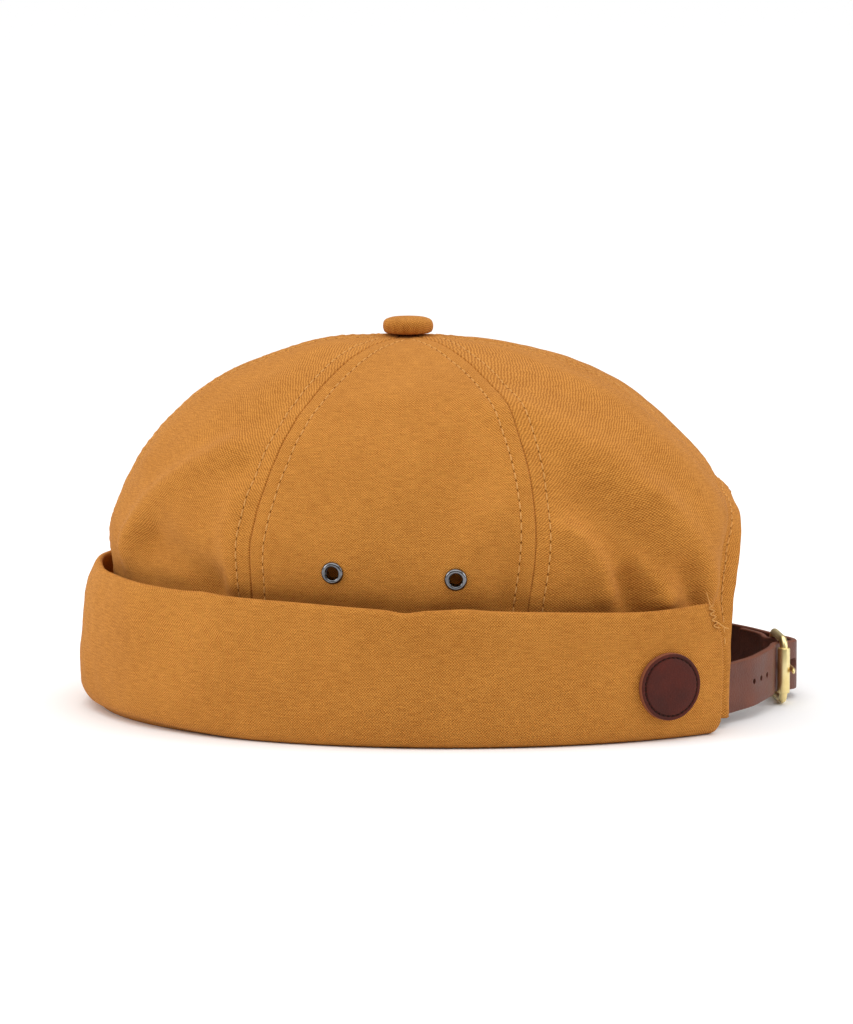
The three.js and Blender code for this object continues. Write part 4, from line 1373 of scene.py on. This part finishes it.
hinge = in_cap((-BUCKLE_SPAN, 0.0, 0.0))
wrap_turns = np.radians(np.linspace(*WRAP_TURNS, WRAP_STEPS))
wrap = hinge + WRAP_RADIUS * np.stack([np.cos(wrap_turns), np.sin(wrap_turns), np.zeros(WRAP_STEPS)], -1)
wrap[:, 2] = WRAP_HEIGHT
buckle_anchor = strap_anchor(-1, BUCKLE_ANCHOR_HEIGHT)
buckle_line = strap_line(np.concatenate([buckle_anchor, BUCKLE_STRAP_PATH, wrap, FOLD_BACK_PATH]))
strap_buckle = strap("strap_buckle_leather", buckle_line, round_end=False)
cut_with(strap_buckle, [prong_slot(*PRONG_SLOT_BUCKLE)])
place_piece(strap_buckle, "strap_leather", "strap_buckle")


# Buckle

def buckle_frame():
    """Rounded rectangle of round bar."""
    path = []
    for corner in range(4):
        turns = np.radians(90.0 * corner + np.linspace(0, 90, CORNER_STEPS))
        side_x, side_z = np.sign(np.cos(turns.mean())), np.sign(np.sin(turns.mean()))
        x = side_x * (BUCKLE_SPAN - BUCKLE_CORNER) + BUCKLE_CORNER * np.cos(turns)
        z = side_z * (BUCKLE_RISE - BUCKLE_CORNER) + BUCKLE_CORNER * np.sin(turns)
        path.append(np.stack([x, np.zeros(CORNER_STEPS), z], -1))
    ring = np.concatenate(path)
    points, faces = tube(ring, (0.0, 1.0, 0.0), BUCKLE_BAR, BUCKLE_BAR, BAR_SIDES, closed=True)
    return add_mesh("buckle_frame_bar", in_cap(points), faces, brass)


def buckle_prong():
    """Tapered tongue, looped round the hinge bar and resting on the roller."""
    turns = np.radians(np.linspace(*PRONG_LOOP_TURNS, PRONG_LOOP_STEPS))
    loop = PRONG_LOOP_RADIUS * np.stack([np.cos(turns), np.sin(turns)], -1) - (BUCKLE_SPAN, 0.0)
    line = smooth_curve(np.concatenate([loop, PRONG_ARM]), PRONG_REFINE)
    line = np.column_stack([line, np.zeros(len(line))])
    distances = travelled(line)
    to_tip = np.clip((distances[-1] - distances) / PRONG_TIP, 0.0, 1.0)
    rounded = np.sqrt(1 - (1 - to_tip) ** 2 * (1 - PRONG_TIP_SHARE))
    taper = (1 - PRONG_TAPER * distances / distances[-1]) * rounded
    up = np.array((0.0, 0.0, 1.0))
    points, faces = tube(line, up, PRONG_HALF_THICK * taper, PRONG_HALF_WIDTH * taper, BAR_SIDES)
    return add_mesh("buckle_prong_bar", in_cap(points), faces, brass)


place_piece(buckle_frame(), "brass", "buckle_frame")
place_piece(buckle_prong(), "brass", "buckle_prong")
roller_points, roller_faces = lathe(ROLLER_PROFILE, (BUCKLE_SPAN, 0.0, 0.0), (0.0, 0.0, 1.0), ROLLER_STEPS)
roller = add_mesh("buckle_roller_sleeve", in_cap(roller_points), roller_faces, brass)
place_piece(roller, "brass", "buckle_roller")


# Floor, light and camera

floor_mesh = bpy.data.meshes.new("floor")
floor_mesh.from_pydata([(FLOOR_HALF * x, FLOOR_HALF * y, 0) for x, y in FLOOR_CORNERS], [], [(0, 1, 2, 3)])
floor_shader = Shader("floor", FLOOR_ROUGHNESS)
floor_shader.set("Base Color", FLOOR_COLOUR)
floor_mesh.materials.append(floor_shader.material)
floor = add_object("floor", floor_mesh)

world = bpy.data.worlds.new("studio")
world.use_nodes = True
background = world.node_tree.nodes["Background"].inputs
background["Color"].default_value = (1, 1, 1, 1)
background["Strength"].default_value = WORLD_STRENGTH
bpy.context.scene.world = world
bpy.context.scene.view_settings.view_transform = "Standard"

overhead = bpy.data.lights.new("overhead", "SUN")
overhead.energy = OVERHEAD_STRENGTH
overhead.angle = math.radians(OVERHEAD_ANGLE)
add_object("overhead", overhead)
for light_name, (place, watts) in SOFT_LIGHTS.items():
    soft = bpy.data.lights.new(light_name, "AREA")
    soft.shape = "DISK"
    soft.size = SOFT_LIGHT_SIZE
    soft.energy = watts
    light = add_object(light_name, soft)
    light.location = place
    light.rotation_mode = "QUATERNION"
    light.rotation_quaternion = (SOFT_LIGHT_TARGET - Vector(place)).to_track_quat("-Z", "Y")

lens = bpy.data.cameras.new("camera")
lens.lens = CAMERA_LENS
lens.sensor_width = CAMERA_SENSOR
lens.clip_end = CAMERA_REACH
camera = add_object("camera", lens)
azimuth, elevation = math.radians(CAMERA_AZIMUTH), math.radians(CAMERA_ELEVATION)
level = math.cos(elevation)
back = Vector((math.sin(azimuth) * level, -math.cos(azimuth) * level, math.sin(elevation)))
target = Vector((CAMERA_TARGET[0], CAMERA_TARGET[1] + MIDDLE_Y, CAMERA_TARGET[2])) * MM
camera.location = target + back * CAMERA_DISTANCE * MM
camera.rotation_mode = "QUATERNION"
camera.rotation_quaternion = back.to_track_quat("Z", "Y")
bpy.context.scene.camera = camera

bpy.context.view_layer.update()
